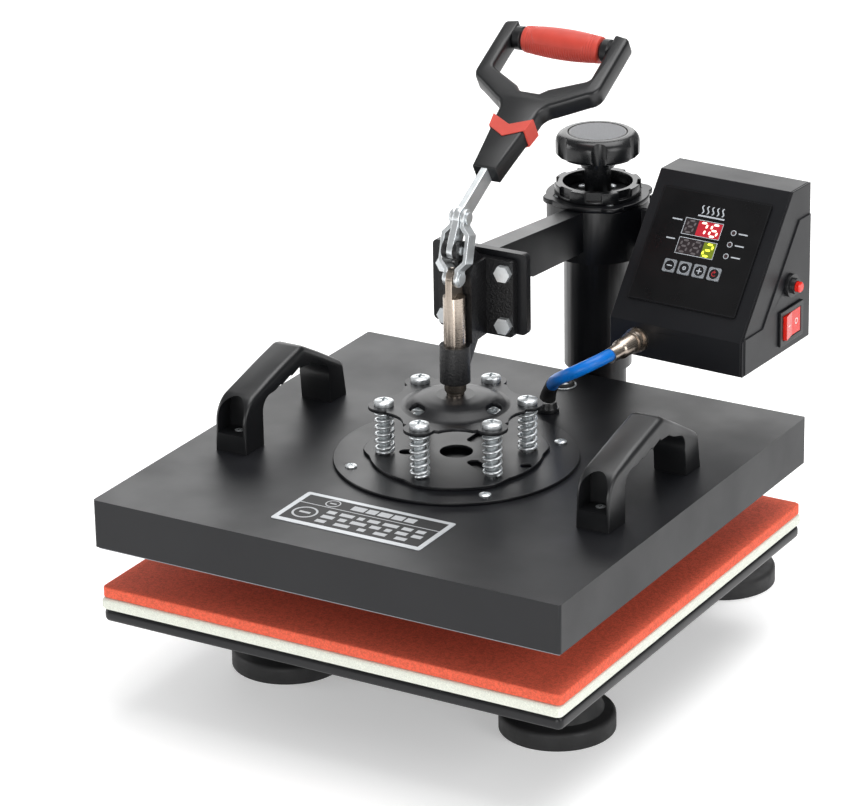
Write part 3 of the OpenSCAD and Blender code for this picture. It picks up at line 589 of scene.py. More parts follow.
def hollow_frame(x0, y0, x1, y1, line):
    """Four strips round the inside of a rectangle."""
    return [
        strip(x0, y0, x1, y0 + line),
        strip(x0, y1 - line, x1, y1),
        strip(x0, y0 + line, x0 + line, y1 - line),
        strip(x1 - line, y0 + line, x1, y1 - line),
    ]


def disc(x, y, radius, steps=32):
    """Points round a full circle."""
    turns = [2 * math.pi * k / steps for k in range(steps)]
    return [(x + radius * math.cos(a), y + radius * math.sin(a)) for a in turns]


def scaled(outlines):
    """Outlines given in millimetres, in metres."""
    return [[(x * MM, y * MM) for x, y in outline] for outline in outlines]


def raised(place, height):
    """A placement lifted by millimetres along its own Z."""
    return place @ Matrix.Translation((0, 0, height * MM))


def print_on(name, outlines, height, place, material, body, slot):
    """Flat shapes in millimetres, as a thin flat-shaded layer of this height."""
    points, faces = plates(scaled(outlines), height * MM, place)
    return make_piece(name, points, faces, material, body, slot, smooth=False)


def material_named(name, maker, *details, **more):
    """The material of this name, made the first time it is asked for."""
    return bpy.data.materials.get(name) or maker(name, *details, **more)


def tube_coat(colours):
    """The darker, glossier powder coat on the tubes and thick plates."""
    base = tint(tuple(colours.coat), 0.7)[:3]
    return material_named("tube_powder_coat", polyester_powder_coat, base, low=0.3, high=0.4)


def zinc_plate(colours):
    return material_named("bright_zinc_plate", bright_zinc, tuple(colours.zinc))


def foot_rubber(colours):
    return material_named("black_foot_rubber", moulded_rubber, tuple(colours.rubber))


def curve_points(route, per_span):
    """A smooth line through the route's points."""
    line = []
    last = len(route) - 1
    for i in range(last):
        p0, p1, p2, p3 = route[max(i - 1, 0)], route[i], route[i + 1], route[min(i + 2, last)]
        for k in range(per_span):
            u = k / per_span
            bend, twist = 2 * p0 - 5 * p1 + 4 * p2 - p3, 3 * p1 - p0 - 3 * p2 + p3
            line.append(0.5 * (2 * p1 + (p2 - p0) * u + bend * u * u + twist * u**3))
    return line + [route[-1]]


def cable_path():
    """The cable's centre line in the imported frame."""
    origin = Vector((0, PIVOT.y, DECK_Z))
    return curve_points([origin + MM * Vector(p) for p in CABLE_ROUTE], 4)


# ---------- operators ----------


class HEATPRESS_OT_camera(bpy.types.Operator):
    """Adds the camera, above the front right corner"""

    bl_idname = "heatpress.camera"
    bl_label = "Camera"

    def execute(self, context):
        # a long lens from nearly three metres away, its horizon tipped by a degree
        eye, target = Vector((1.3823, -2.3964, 1.3081)), Vector((-0.07575, 0.03983, 0.165))
        roll = math.radians(-1.09)
        ahead = (target - eye).normalized()
        right = ahead.cross(Vector((0, 0, 1))).normalized()
        up = right.cross(ahead)
        right, up = (
            math.cos(roll) * right + math.sin(roll) * up,
            math.cos(roll) * up - math.sin(roll) * right,
        )
        data = bpy.data.cameras.new("camera")
        data.lens = 173.2
        data.sensor_width = 36
        data.clip_end = 50
        camera = bpy.data.objects.new("camera", data)
        turn = Matrix((right, up, -ahead)).transposed().to_4x4()
        camera.matrix_world = Matrix.Translation(eye) @ turn
        context.scene.collection.objects.link(camera)
        context.scene.camera = camera
        return {"FINISHED"}


class HEATPRESS_OT_cable(bpy.types.Operator):
    """Builds the heater cable from the plug to the gland"""

    bl_idname = "heatpress.cable"
    bl_label = "Heater cable"

    def execute(self, context):
        sizes, colours = context.scene.heatpress_sizes, context.scene.heatpress_colours
        path = cable_path()
        points, faces = sweep(path, lambda t: sizes.cable_diameter / 2)
        sleeve = material_named("blue_silicone_sleeve", silicone_sleeving, tuple(colours.cable))
        hose = make_piece("heater_hose", points, faces, sleeve, None, "blue_sleeve")
        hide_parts("heater_cable")
        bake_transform(hose)
        return {"FINISHED"}


def slab(place, half_w, half_d, corner, low, high, edge, unevenness, seed):
    """A sheet with round corners, rounded cut edges and a face that is a little uneven."""
    outline = rounded_outline(half_w, half_d, corner)
    short = [edge * (1 - math.sin(math.radians(a))) for a in (30, 60, 90)]
    long = [edge * (1 - math.cos(math.radians(a))) for a in (30, 60, 90)]
    # (inset, height) up the side: the lower rounding, the flat of the cut, the upper rounding
    levels = [(edge, low)] + [(inset, low + rise) for inset, rise in zip(short, long)]
    levels += [(0, low + (high - low) * t) for t in (0.35, 0.5, 0.65)] + [(0, high - edge)]
    levels += [(inset, high - drop) for inset, drop in zip(long, short)]
    rings = [[(p.x * (1 - i / half_w), p.y * (1 - i / half_d), z) for p in outline] for i, z in levels]
    for share in (0.97, 0.9, 0.8, 0.7, 0.6, 0.5, 0.4, 0.3, 0.2, 0.1, 0.03):
        k = (1 - edge / half_w) * share
        rings.append([(p.x * k, p.y * k, high) for p in outline])
    moved = []
    for ring in rings:
        new_ring = []
        for x, y, z in ring:
            height = (z - low) / (high - low)
            wobble = noise.noise(Vector((x * 14 + seed, y * 14, seed)))
            fine = noise.noise(Vector((x * 160, y * 160 + seed, z * 160)))
            side = unevenness * 0.7 * fine * math.sin(math.pi * min(max(height, 0), 1))
            out = Vector((x, y, 0)).normalized() * side if 0 < height < 1 else Vector()
            sunk = z - height * unevenness * (0.5 + 0.5 * wobble)
            new_ring.append(place @ (Vector((x, y, sunk)) + out))
        moved.append(new_ring)
    return loft(moved)


class HEATPRESS_OT_pads(bpy.types.Operator):
    """Builds the silicone sponge pad, the felt pad under it and the rounded bed plate"""

    bl_idname = "heatpress.pads"
    bl_label = "Pads"

    def execute(self, context):
        sizes, colours = context.scene.heatpress_sizes, context.scene.heatpress_colours
        pads = (
            ("silicone_sheet", "silicone_pad", "silicone_sponge", sizes.pad_edge, 0.00025, 3.0,
             material_named("silicone_sponge_sheet", silicone_sponge, tuple(colours.silicone))),
            ("felt_sheet", "felt_pad", "felt", sizes.felt_edge, 0.0006, 11.0,
             material_named("needled_felt_sheet", needled_felt, tuple(colours.felt))),
        )
        for name, node, slot, edge, unevenness, seed, material in pads:
            low, high, middle = span(node)
            points, faces = slab(
                Matrix.Translation((middle.x, middle.y, 0)),
                (high.x - low.x) / 2, (high.y - low.y) / 2, sizes.pad_corner,
                low.z, high.z, edge, unevenness, seed,
            )
            pad = make_piece(name, points, faces, material, "base", slot)
            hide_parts(node)
        # bed plate under them, its rim turned to a bullnose of 3.4 mm radius
        low, high, middle = span("bed_plate")
        half = (high - low) / 2
        outline = [(p.x / MM, p.y / MM) for p in rounded_outline(half.x, half.y, 0.005)]
        points, faces = rounded_plate(
            outline, half.z / MM, [3.4] * len(outline), Matrix.Translation(middle)
        )
        bed = make_piece("bed_bullnose", points, faces, tube_coat(colours), "base", "powder_coat", sharp=40)
        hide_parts("bed_plate")
        return {"FINISHED"}


class HEATPRESS_OT_springs(bpy.types.Operator):
    """Winds the six suspension springs, with closed ends"""

    bl_idname = "heatpress.springs"
    bl_label = "Suspension springs"

    def execute(self, context):
        sizes, colours = context.scene.heatpress_sizes, context.scene.heatpress_colours
        low, high, _ = span("suspension_springs")
        wire, coil, screw_circle = sizes.spring_wire / 2, sizes.spring_radius, 0.052
        # turns in all, those closed at each end, the rise of a closed turn, and the rise of all the open ones
        turns, closed, pitch, per_turn = 7.0, 1.0, 2.1 * wire, 22
        open_rise = (high.z - low.z) - 2 * wire - 2 * closed * pitch
        coils = []
        for spring in range(6):
            angle = math.radians(30 + 60 * spring)
            x, y = screw_circle * math.cos(angle), PIVOT.y + screw_circle * math.sin(angle)
            path = []
            for i in range(int(turns * per_turn) + 1):
                t = i / per_turn
                rise = pitch * min(t, closed) + pitch * max(0, t - (turns - closed))
                rise += open_rise * min(max((t - closed) / (turns - 2 * closed), 0), 1)
                a = 2 * math.pi * t + angle
                path.append(Vector((x + coil * math.cos(a), y + coil * math.sin(a), low.z + wire + rise)))
            coils.append(sweep(path, lambda t: wire, 8))
        springs = make_piece("spring_coils", *joined(*coils), zinc_plate(colours), "plunger", "zinc")
        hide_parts("suspension_springs")
        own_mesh(springs)
        return {"FINISHED"}


class HEATPRESS_OT_grip(bpy.types.Operator):
    """Builds the soft grip with its fine ribs and smooth thumb patch"""

    bl_idname = "heatpress.grip"
    bl_label = "Handle grip"

    def execute(self, context):
        sizes, colours = context.scene.heatpress_sizes, context.scene.heatpress_colours
        place = HANDLE_FRAME @ Matrix.Translation((0, GRIP_OUT, 0)) @ QUARTER_Y
        half, around = 0.0316, 64
        stations = 230
        rings = []
        for i in range(stations + 1):
            x = -half + 2 * half * i / stations
            swell = 0.0096 + 0.0022 * math.cos(math.radians(x / MM * 2.6))
            end = min(1.0, (half - abs(x)) / 0.0012)
            swell -= 0.0008 * (1 - math.sqrt(max(0.0, 1 - (1 - end) ** 2)))
            ring = []
            for k in range(around):
                a = 2 * math.pi * k / around
                # a is measured from the handle's underside; the patch faces out of the upper face
                up = math.degrees(abs(math.atan2(math.sin(a - math.pi), math.cos(a - math.pi))))
                edge_x = 0.0235 - 0.005 * (up / 60) ** 2
                inside_patch = min((60 - up) / 4, (edge_x - abs(x)) / 0.001)
                inside_ribs = min((0.0285 - abs(x)) / 0.001, 1.0)
                ribbed = max(0.0, min(1.0, inside_ribs)) * max(0.0, min(1.0, -inside_patch))
                groove = 0.5 - 0.5 * math.cos(2 * math.pi * x / sizes.rib_pitch)
                rim = math.exp(-((inside_patch + 0.2) ** 2) * 3) * (1 if up < 75 and abs(x) < 0.0265 else 0)
                r = swell - ribbed * sizes.rib_depth * groove**0.7 - rim * 0.0003
                ring.append(place @ Vector((r * math.cos(a), r * math.sin(a), x)))
            rings.append(ring)
        rubber = material_named("orange_grip_rubber", soft_grip_rubber, tuple(colours.accent))
        points, faces = loft(rings)
        grip = make_piece("ribbed_grip", points, faces, rubber, "handle", "orange_rubber")
        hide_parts("grip_sleeve")
        return {"FINISHED"}


# turns (x, y, z) to (y, z, x), so that a flat shape stands up along Y
STOOD_UP = Matrix(((0, 0, 1, 0), (1, 0, 0, 0), (0, 1, 0, 0), (0, 0, 0, 1)))


def mirrored(side):
    """A right-hand outline joined with its mirror image."""
    return side + [(-x, y) for x, y in reversed(side)]


class HEATPRESS_OT_handles(bpy.types.Operator):
    """Builds the D handle and both side handles with their rounded edges and screw pockets"""

    bl_idname = "heatpress.handles"
    bl_label = "Moulded handles"

    def execute(self, context):
        black = tuple(context.scene.heatpress_colours.plastic)
        satin = material_named("satin_black_moulding", moulded_plastic, black, 0.3, 0.42)
        # D handle: neck, shoulder, arm and tip on the right, then back down the inside of the opening
        side = [(9.5, 43), (11.5, 61), (13.5, 80), (15.8, 95)]
        side += arc(28.5, 99, 12.5, 170, 112, 8) + arc(40, 136, 12, -68, 0, 10) + [(52, 160)]
        side += arc(48, 183, 4, 0, 90, 6) + [(41.2, 187), (40.3, 185.6), (40.3, 165)]
        side += arc(34.3, 144, 6, 0, -66, 6) + [(13, 126), (8, 121)]
        edges = [1.4 if y < 50 else 2.2 if y < 90 else 1.0 if 185 < y and x < 43 else 3.2 for x, y in side]
        parts = [rounded_plate(mirrored(side), 7.75, edges + edges[::-1], HANDLE_FRAME)]
        # a stub at each end of the grip
        for x in (-1, 1):
            ends = [HANDLE_FRAME @ Vector((x * at, GRIP_OUT, 0)) for at in (0.0318, 0.0412)]
            parts.append(round_bar(*ends, 0.009, 32))
        body = make_piece("d_handle", *joined(*parts), satin, "handle", "black_plastic", sharp=38)
        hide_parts("handle_body")
        # side handles: (distance from the front, height) over the top, then back under the grip
        top = [(0, 0)] + arc(21, 22, 21, 178, 106, 12) + [(36, 47.9), (58, 53.4)]
        top += arc(80, 47, 11, 103, 62, 8) + [(108, 44.2)] + arc(130, 21, 9, 60, 5, 7) + [(140, 0)]
        under = [(118, 0), (116.5, 17)] + arc(105, 24, 11, -15, 80, 9)
        under += [(98, 37.5), (90, 41.5), (78, 42), (76.5, 43.6), (65.5, 40.2), (64, 41.6), (51.5, 37.8)]
        under += [(50, 39.2), (42, 36.8)] + arc(35.5, 25.5, 11, 85, 180, 9) + [(24.5, 0)]
        edges = [0.6 if z == 0 else min(4.4, 2.2 + 0.09 * y) for y, z in top] + [0.6 for _ in under]
        for name, x in (("left", -0.15), ("right", 0.15)):
            upright = Matrix.Translation((x, PIVOT.y - 0.07, DECK_Z + 0.00002)) @ STOOD_UP
            points, faces = rounded_plate(top + under, 13.2, edges, upright)
            piece = make_piece(f"side_grip_{name}", points, faces, satin, "platen", "black_plastic")
            # the screw pocket, cut from the front
            opening = [(-10.8, 14), (10.8, 14)] + arc(0, 30, 10.8, 0, 180, 16)
            inward = Matrix.Translation((x, PIVOT.y - 0.053, DECK_Z)) @ QUARTER_X
            points, faces = plates(scaled([opening]), 0.02, inward)
            cutter = mesh_object("pocket_cutter", points, faces)
            cut = piece.modifiers.new("pocket", "BOOLEAN")
            cut.object = cutter
            cut.solver = "EXACT"
            evaluated = piece.evaluated_get(context.evaluated_depsgraph_get())
            cut_mesh = bpy.data.meshes.new_from_object(evaluated)
            piece.modifiers.clear()
            piece.data = cut_mesh
            bpy.data.objects.remove(cutter)
            cut_mesh.set_sharp_from_angle(angle=math.radians(32))
            if len(cut_mesh.polygons) < 200:
                raise RuntimeError(f"the pocket was not cut in side_grip_{name}")
            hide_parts(f"side_handle_{name}")
        return {"FINISHED"}


SEGMENTS = {"8": "abcdefg", "7": "abc", "6": "acdefg", "2": "abdeg"}


def digit(character, x, s, width=5.9, height=9.2, stroke=1.5, lean=0.13):
    """Outlines in millimetres of one seven-bar digit with its lower left corner at (x, s)."""
    h, t = height / 2, stroke / 2
    rows = {"a": height, "g": h, "d": 0}
    outlines = []
    for bar in SEGMENTS[character]:
        if bar in rows:
            y, x0, x1 = rows[bar], t, width - t
            shape = [(x0, y), (x0 + t, y - t), (x1 - t, y - t), (x1, y), (x1 - t, y + t), (x0 + t, y + t)]
        else:
            cx = 0 if bar in "ef" else width
            y0, y1 = (h + t, height - t) if bar in "bf" else (t, h - t)
            shape = [(cx, y0), (cx + t, y0 + t), (cx + t, y1 - t)]
            shape += [(cx, y1), (cx - t, y1 - t), (cx - t, y0 + t)]
        outlines.append([(x + px + lean * py, s + py) for px, py in shape])
    return outlines


class HEATPRESS_OT_display(bpy.types.Operator):
    """Builds the numbers, windows, marks and lamps on the sloping panel"""

    bl_idname = "heatpress.display"
    bl_label = "Display"

    def execute(self, context):
        # heights of the panel's film and of the display's glass over the slope
        on_panel, on_glass = raised(SLOPE_FRAME, 1.22), raised(SLOPE_FRAME, 0.9)
        on_window, on_halo = raised(on_glass, 0.06), raised(raised(on_glass, 0.06), 0.03)
        ink = material_named("light_grey_ink", printed_ink, "#b9bec4")
        shade = material_named("unlit_window", polished_film, "#2e282a")
        unlit = material_named("unlit_segments", printed_ink, "#5f595b")
        bar = material_named("panel_black_film", polished_film, "#070709")
        edge = material_named("film_edge", polished_film, "#1a1b1e")
        red_glow = material_named("red_glow", lit_segment, "#9c1826", 0.55)
        red = material_named("red_digits", lit_segment, "#ffc4b8", 2.6)
        green_glow = material_named("green_glow", lit_segment, "#5d6a12", 0.6)
        green = material_named("green_digits", lit_segment, "#e9f23c", 2.2)
        windows = ((35.0, 73.0, 66.0, 85.2), (35.0, 57.6, 66.0, 69.8))
        line = 0.45
        lines = []
        for x0, s0, x1, s1 in windows:
            lines += hollow_frame(x0 - line, s0 - line, x1 + line, s1 + line, line)
        # three digits to a row; the lit ones stand on a halo
        starts, upper, lower = (36.6, 46.6, 56.7), 74.5, 59.1
        dark = digit("8", starts[0], upper) + digit("8", starts[0], lower) + digit("8", starts[1], lower)
        number = digit("7", starts[1], upper) + digit("6", starts[2], upper)
        marks = []
        for s in (62.0, 71.2, 80.4):
            marks += hoop(76.3, s, 2.2, 1.55)
            marks.append(strip(80.6, s - 0.5, 88.0, s + 0.5))
        marks += [strip(24.0, 82.5, 32.2, 83.5), strip(24.0, 67.2, 31.4, 68.2)]
        # heat mark: five rising waves over a line
        for column in range(5):
            x = 46.0 + 4.2 * column
            wave = [(x + 0.9 * math.sin(math.pi * k / 4), 90.6 + 0.8 * k) for k in range(9)]
            for (ax, ay), (bx, by) in zip(wave, wave[1:]):
                marks.append([(ax - 0.55, ay), (ax + 0.55, ay), (bx + 0.55, by), (bx - 0.55, by)])
        marks.append(strip(43.5, 88.2, 65.5, 89.4))
        rows = (
            ("window_glass", [strip(*w) for w in windows], 0.06, on_glass, shade, "display_plastic"),
            ("window_bar", [strip(35.0, 70.3, 66.0, 72.5)], 0.38, on_glass, bar, "panel_film"),
            ("window_lines", lines, 0.06, on_panel, ink, "key_plastic"),
            ("unlit_digits", dark, 0.05, on_window, unlit, "display_plastic"),
            ("red_halo", [strip(46.0, 73.2, 65.8, 85.0)], 0.03, on_window, red_glow, "display_plastic"),
            ("green_halo", [strip(55.8, 57.8, 65.8, 69.6)], 0.03, on_window, green_glow, "display_plastic"),
            ("red_number", number, 0.05, on_halo, red, "display_plastic"),
            ("green_number", digit("2", starts[2], lower), 0.05, on_halo, green, "display_plastic"),
            ("panel_marks", marks, 0.05, on_panel, ink, "key_plastic"),
            ("film_border", hollow_frame(9.2, 17.8, 98.8, 106.4, 0.35), 0.05, on_panel, edge, "panel_film"),
        )
        for name, outlines, height, place, material, slot in rows:
            print_on(name, outlines, height, place, material, "head", slot)
        return {"FINISHED"}


class HEATPRESS_OT_keys(bpy.types.Operator):
    """Prints the faces of the four keys"""

    bl_idname = "heatpress.keys"
    bl_label = "Keys"

    def execute(self, context):
        ink = material_named("light_grey_ink", printed_ink, "#b9bec4")
        dark = material_named("key_face_film", polished_film, "#121316", low=0.3, high=0.4)
        warn = material_named("red_ink", printed_ink, "#b3232c")
        centre_s, tops = 46.8, 1.8
        minus = [strip(-2.2, -0.4, 2.2, 0.4)]
        plus = minus + [strip(-0.4, 0.4, 0.4, 2.2), strip(-0.4, -2.2, 0.4, -0.4)]
        select = hoop(0, 0, 1.5, 0.9) + [strip(-0.45, -0.45, 0.45, 0.45)]
        stop = hoop(0, 0, 2.0, 1.4)[4:-3] + [strip(-0.35, 0.4, 0.35, 2.6)]
        rows = (("minus_key", 34.4, minus, ink), ("set_key", 46.9, select, ink),
                ("plus_key", 59.4, plus, ink), ("stop_key", 71.9, stop, warn))
        for body, x, sign, sign_ink in rows:
            face = SLOPE_FRAME @ Matrix.Translation((x * MM, centre_s * MM, tops * MM))
            print_on(body + "_face", [disc(0, 0, 4.55)], 0.04, face, dark, body, "panel_film")
            upper = raised(face, 0.04)
            print_on(body + "_ring", hoop(0, 0, 4.35, 4.0), 0.03, upper, ink, body, "key_plastic")
            print_on(body + "_sign", sign, 0.03, upper, sign_ink, body, "key_plastic")
        return {"FINISHED"}


class HEATPRESS_OT_label(bpy.types.Operator):
    """Prints the dark fields of the foil label, with plain light bars and two round marks"""

    bl_idname = "heatpress.label"
    bl_label = "Foil label"

    def execute(self, context):
        _, high, middle = span("rating_label")
        place = Matrix.Translation((middle.x, middle.y, high.z))
        black = material_named("black_label_ink", printed_ink, "#0d0d0f")
        light = material_named("silver_label_ink", printed_ink, "#b4b6b9")
        print_on("label_field", [strip(-57.0, -21.2, 57.0, 22.0)], 0.05, place, black, "platen", "label_foil")
        shapes = [strip(-57.0, 7.6, 57.0, 8.5)]
        # rows of plain bars: left, right, bottom, top, and the bars' lengths
        words = (
            (-18.0, 34.0, 11.6, 18.6, (11, 8, 10, 9, 8)),
            (-30.0, 50.0, -1.2, 3.6, (7, 11, 5, 9, 12, 8, 7)),
            (-30.0, 52.0, -9.4, -4.6, (10, 6, 12, 8, 5, 9, 8)),
            (-30.0, 44.0, -17.4, -12.8, (8, 12, 6, 10, 9)),
        )
        for x0, x1, y0, y1, lengths in words:
            gap = (x1 - x0 - sum(lengths)) / (len(lengths) - 1)
            x = x0
            for word in lengths:
                shapes.append(strip(x, y0, x + word, y1))
                x += word + gap
        for x, y, size in ((-44.0, -6.8, 1.0), (-34.0, 15.2, 0.6)):
            shapes += hoop(x, y, 9.6 * size, 8.0 * size)
            shapes.append(strip(x - 4.4 * size, y - 1.3 * size, x + 4.4 * size, y + 1.3 * size))
        print_on("label_print", shapes, 0.04, raised(place, 0.05), light, "platen", "label_foil")
        return {"FINISHED"}


class HEATPRESS_OT_small_parts(bpy.types.Operator):
    """Adds the cap's printed disc, the cable boot whose black paints the shade at the cable's end, the
    cover's grommet and the rocker's marks
    """

    bl_idname = "heatpress.small_parts"
    bl_label = "Small parts"

    def execute(self, context):
        colours = context.scene.heatpress_colours
        # printed disc in the knob's cap
        _, high, middle = span("knob_cap")
        column = Matrix.Translation((middle.x, middle.y, high.z))
        points, faces = revolve([(0.0, 0), (0.0208, 0.0), (0.0208, 0.0001), (0.0, 0.0001)], 64, column)
        disc_print = material_named("speckled_cap_disc", speckled_plate)
        make_piece("cap_disc", points, faces, disc_print, "knob", "black_plastic", smooth=False)
        # black boot over the cable's end, standing in the gland; its black is painted shade where the cable's
        # end drops into the dark by the deck
        rubber = foot_rubber(colours)
        end = cable_path()[-11:]
        wide = context.scene.heatpress_sizes.cable_diameter / 2
        points, faces = sweep(end, lambda t: wide + 0.0004 + 0.0011 * t * t, 24)
        make_piece("cable_end_shade_boot", points, faces, rubber, "platen", "black_plastic")
        # spare cable hole in the cover, closed by a grommet with a bright eyelet
        hole = Matrix.Translation((0, PIVOT.y + 0.162, DECK_Z))
        grommet = [
            (0, 0.0002), (0.0042, 0.0002), (0.0046, 0.0016), (0.006, 0.0026), (0.0078, 0.0026),
            (0.0088, 0.0016), (0.009, 0.0002), (0, 0.0001),
        ]
        eyelet = [
            (0, 0.0001), (0.0104, 0.0001), (0.0104, 0.0006), (0.0098, 0.0009), (0.0091, 0.0006), (0, 0.0005),
        ]
        make_piece("cover_grommet", *revolve(grommet, 40, hole), rubber, "platen", "black_plastic")
        make_piece("cover_eyelet", *revolve(eyelet, 40, hole), zinc_plate(colours), "platen", "zinc")
        # off and on marks on the rocker's two flanks
        ink = material_named("white_switch_ink", printed_ink, "#e8e4e0")
        hinge = Vector(JOINTS["rocker_tilt"]["pos_m"])
        rocker = Matrix.Translation(hinge) @ Matrix.Rotation(BOX_TURN + math.radians(6), 4, "Z")
        marks = []
        for side, shapes in ((-1, [strip(-0.45, -2.2, 0.45, 2.2)]), (1, hoop(0, 0, 2.3, 1.6))):
            tilt = Matrix.Rotation(math.radians(-5.5 * side), 4, "Z")
            flank = rocker @ Matrix.Translation((0.00446, side * 0.0065, 0)) @ tilt @ QUARTER_Y
            marks.append(plates(scaled(shapes), 0.05 * MM, flank))
        make_piece("rocker_marks", *joined(*marks), ink, "rocker_switch", "red_plastic", smooth=False)
        return {"FINISHED"}


# edge rounding in millimetres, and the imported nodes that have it
BEVELS = {
    1.2: ("swing_arm", "base_frame"),
    1.0: ("sleeve_top_plate", "plunger_bracket"),
    0.9: ("pressure_knob",),
    0.8: ("platen_cover", "head_sleeve", "rear_post"),
    0.7: ("control_housing",),
    0.6: ("side_cover", "handle_bar", "box_bracket"),
    0.5: ("lock_ring", "spider_plate", "mounting_plate", "flange_disc", "link_left", "link_right",
          "rocker_frame", "chevron_band", "heat_plate", "rubber_feet"),
    0.4: ("breaker_body", "power_inlet", "base_fasteners", "bracket_bolts", "top_plate_bolts",
          "plunger_nut", "cable_gland"),
    0.3: ("rocker_switch", "cable_plug", "cable_socket", "knob_cap", "plunger_rod"),
    0.25: ("suspension_screws",),
    0.2: ("platen_screws", "minus_key", "set_key", "plus_key", "stop_key"),
}


class HEATPRESS_OT_frame_finish(bpy.types.Operator):
    """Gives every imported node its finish, and softens its edges"""

    bl_idname = "heatpress.frame_finish"
    bl_label = "Frame finishes"

    def execute(self, context):
        colours = context.scene.heatpress_colours
        coat = tuple(colours.coat)
        black = tuple(colours.plastic)
        sheet = material_named("sheet_powder_coat", polyester_powder_coat, coat)
        tube = tube_coat(colours)
        pressed = tint(coat, 0.85)[:3]
        plate = material_named("pressed_plate_coat", polyester_powder_coat, pressed, low=0.3, high=0.4)
        casting = material_named("painted_sand_casting", painted_casting, tuple(colours.cast))
        zinc = zinc_plate(colours)
        nickel = material_named("turned_nickel_plate", turned_nickel, tuple(colours.nickel))
        satin = material_named("satin_black_moulding", moulded_plastic, black, 0.3, 0.42)
        gloss = material_named("gloss_black_moulding", moulded_plastic, black, 0.2, 0.3)
        grip = material_named("orange_grip_rubber", soft_grip_rubber, tuple(colours.accent))
        rubber = foot_rubber(colours)
        signal = tuple(colours.signal)
        red = material_named("red_switch_polycarbonate", moulded_plastic, signal, 0.16, 0.24)
        key = material_named("key_cap_abs", moulded_plastic, linear("#85898e"), 0.4, 0.5)
        bronze = material_named("turned_bronze", turned_nickel, linear("#b08a4a"))
        sponge = material_named("silicone_sponge_sheet", silicone_sponge, tuple(colours.silicone))
        sleeve = material_named("blue_silicone_sleeve", silicone_sleeving, tuple(colours.cable))
        finishes = {
            sheet: ("platen_cover", "control_housing", "side_cover", "box_bracket"),
            tube: ("base_frame", "rear_post", "head_sleeve", "swing_arm", "sleeve_top_plate", "bed_plate"),
            plate: ("mounting_plate", "flange_disc", "spider_plate"),
            casting: ("plunger_bracket",),
            zinc: ("base_fasteners", "top_plate_bolts", "bracket_bolts", "pivot_pin", "crank_pin",
                   "slider_pin", "handle_bar", "link_left", "link_right", "suspension_screws",
                   "suspension_springs", "platen_screws", "plunger_nut", "pressure_screw"),
            nickel: ("plunger_rod", "cable_socket", "cable_plug"),
            bronze: ("thrust_bush",),
            satin: ("side_handle_left", "side_handle_right", "handle_body", "breaker_body",
                    "rocker_frame", "power_inlet", "cable_gland"),
            gloss: ("pressure_knob", "knob_cap", "lock_ring"),
            grip: ("grip_sleeve", "chevron_band"),
            rubber: ("rubber_feet",),
            sponge: ("silicone_pad",),
            material_named("needled_felt_sheet", needled_felt, tuple(colours.felt)): ("felt_pad",),
            material_named("milled_heat_plate", milled_aluminium): ("heat_plate",),
            material_named("ceramic_wool_mat", ceramic_wool): ("insulation_mat",),
            material_named("brushed_label_foil", brushed_foil, "#c2c5c8", 0.35): ("rating_label",),
            material_named("panel_black_film", polished_film, "#070709"): ("front_panel",),
            material_named("display_filter", polished_film, "#3a2c2e"): ("display_module",),
            material_named("green_solder_mask", solder_mask): ("circuit_board",),
            key: ("minus_key", "set_key", "plus_key", "stop_key"),
            red: ("breaker_button", "rocker_switch"),
            sleeve: ("heater_cable",),
        }
        done = set()
        for material, names in finishes.items():
            for name in names:
                node = frame["nodes"][name]
                node.data.materials.clear()
                node.data.materials.append(material)
                done.add(name)
        missing = set(frame["nodes"]) - done
        if missing:
            raise RuntimeError(f"nodes without a finish: {sorted(missing)}")
        for name, width in ((name, width) for width, names in BEVELS.items() for name in names):
            node = frame["nodes"][name]
            weld = node.modifiers.new("weld", "WELD")
            weld.merge_threshold = 0.00001
            bevel = node.modifiers.new("soft_edges", "BEVEL")
            bevel.width = width * MM
            bevel.segments = 3
            bevel.limit_method = "ANGLE"
            bevel.angle_limit = math.radians(40)
            bevel.use_clamp_overlap = True
            bevel.harden_normals = True
        return {"FINISHED"}


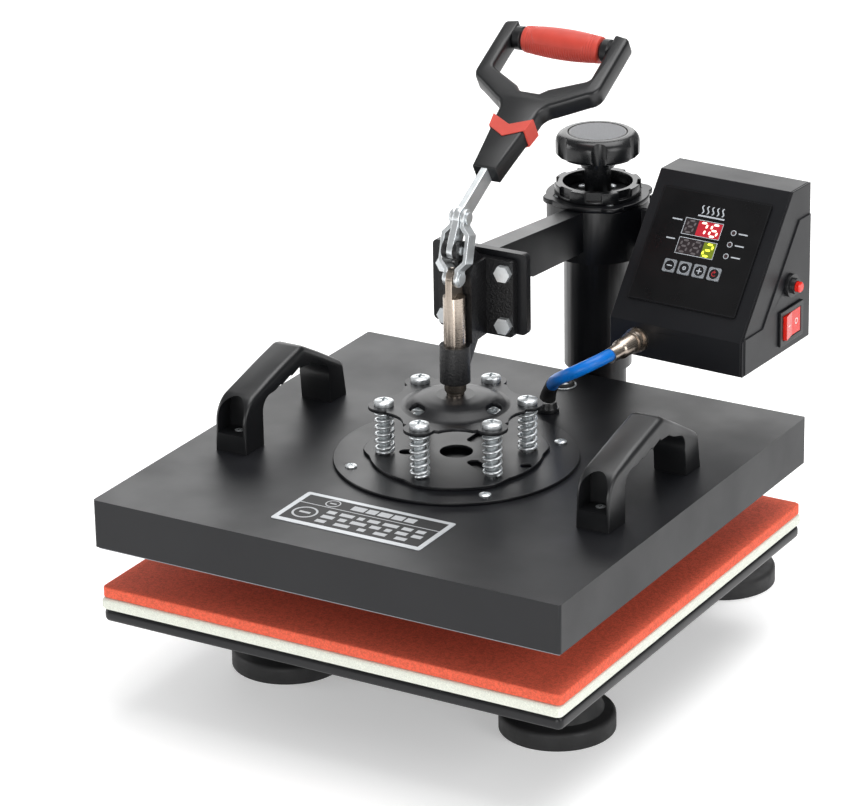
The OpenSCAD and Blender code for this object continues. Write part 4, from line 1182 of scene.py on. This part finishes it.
class HEATPRESS_OT_stage(bpy.types.Operator):
    """Adds the white floor, the bright surroundings and five soft boxes"""

    bl_idname = "heatpress.stage"
    bl_label = "Stage"

    def execute(self, context):
        world = bpy.data.worlds.new("studio")
        world.use_nodes = True
        # the room is dim for the object, so its blacks stay deep, and white where nothing is in the way
        back = world.node_tree.nodes["Background"]
        back.inputs["Color"].default_value = (1, 1, 1, 1)
        back.inputs["Strength"].default_value = 0.27
        tree = world.node_tree
        white = add_node(tree, "ShaderNodeBackground", sockets={"Strength": 1.0, "Color": (1, 1, 1, 1)})
        path = add_node(tree, "ShaderNodeLightPath")
        choices = {0: (path, "Is Camera Ray"), 1: (back, "Background"), 2: (white, "Background")}
        mix = add_node(tree, "ShaderNodeMixShader", links=choices)
        tree.links.new(mix.outputs[0], tree.nodes["World Output"].inputs["Surface"])
        context.scene.world = world
        context.scene.view_settings.view_transform = "Standard"
        corners = [(x, y, 0) for x, y in strip(-9.0, -9.0, 9.0, 9.0)]
        floor = mesh_object("floor", corners, [(0, 1, 2, 3)], material_named("studio_paper", studio_paper))
        boxes = (
            ("back_softbox", (-1.4, 2.3, 1.25), 1.9, 24),
            ("top_softbox", (0.3, 0.5, 2.6), 2.2, 62),
            ("right_softbox", (2.3, -0.6, 1.0), 1.3, 20),
            ("left_softbox", (-2.3, -0.9, 0.8), 1.2, 14),
            ("front_softbox", (0.7, -2.7, 0.42), 1.4, 26),
        )
        for name, at, side, power in boxes:
            data = bpy.data.lights.new(name, "AREA")
            data.shape = "SQUARE"
            data.size = side
            data.energy = power
            light = bpy.data.objects.new(name, data)
            aim = (Vector((0, 0, 0.15)) - Vector(at)).to_track_quat("-Z", "Y")
            light.matrix_world = Matrix.Translation(at) @ aim.to_matrix().to_4x4()
            context.scene.collection.objects.link(light)
        return {"FINISHED"}


class HEATPRESS_PT_panel(bpy.types.Panel):
    """Lists the heat press operators"""

    bl_idname = "HEATPRESS_PT_panel"
    bl_label = "Heat Press"
    bl_space_type = "VIEW_3D"
    bl_region_type = "UI"
    bl_category = "Heat Press"

    def draw(self, context):
        layout = self.layout
        for group in (context.scene.heatpress_sizes, context.scene.heatpress_colours):
            for name in group.bl_rna.properties.keys():
                if name not in ("rna_type", "name"):
                    layout.prop(group, name)
        for operator in OPERATORS:
            layout.operator(operator.bl_idname)


OPERATORS = (
    HEATPRESS_OT_camera,
    HEATPRESS_OT_cable,
    HEATPRESS_OT_stage,
    HEATPRESS_OT_frame_finish,
    HEATPRESS_OT_pads,
    HEATPRESS_OT_springs,
    HEATPRESS_OT_grip,
    HEATPRESS_OT_handles,
    HEATPRESS_OT_display,
    HEATPRESS_OT_keys,
    HEATPRESS_OT_label,
    HEATPRESS_OT_small_parts,
)
CLASSES = (HeatPressSizes, HeatPressColours, *OPERATORS, HEATPRESS_PT_panel)


def register():
    for cls in CLASSES:
        bpy.utils.register_class(cls)
    bpy.types.Scene.heatpress_sizes = bpy.props.PointerProperty(type=HeatPressSizes)
    bpy.types.Scene.heatpress_colours = bpy.props.PointerProperty(type=HeatPressColours)


def unregister():
    del bpy.types.Scene.heatpress_colours
    del bpy.types.Scene.heatpress_sizes
    for cls in reversed(CLASSES):
        bpy.utils.unregister_class(cls)


def main():
    register()
    for operator in OPERATORS:
        group, call = operator.bl_idname.split(".")
        getattr(getattr(bpy.ops, group), call)()


if __name__ == "__main__":
    main()
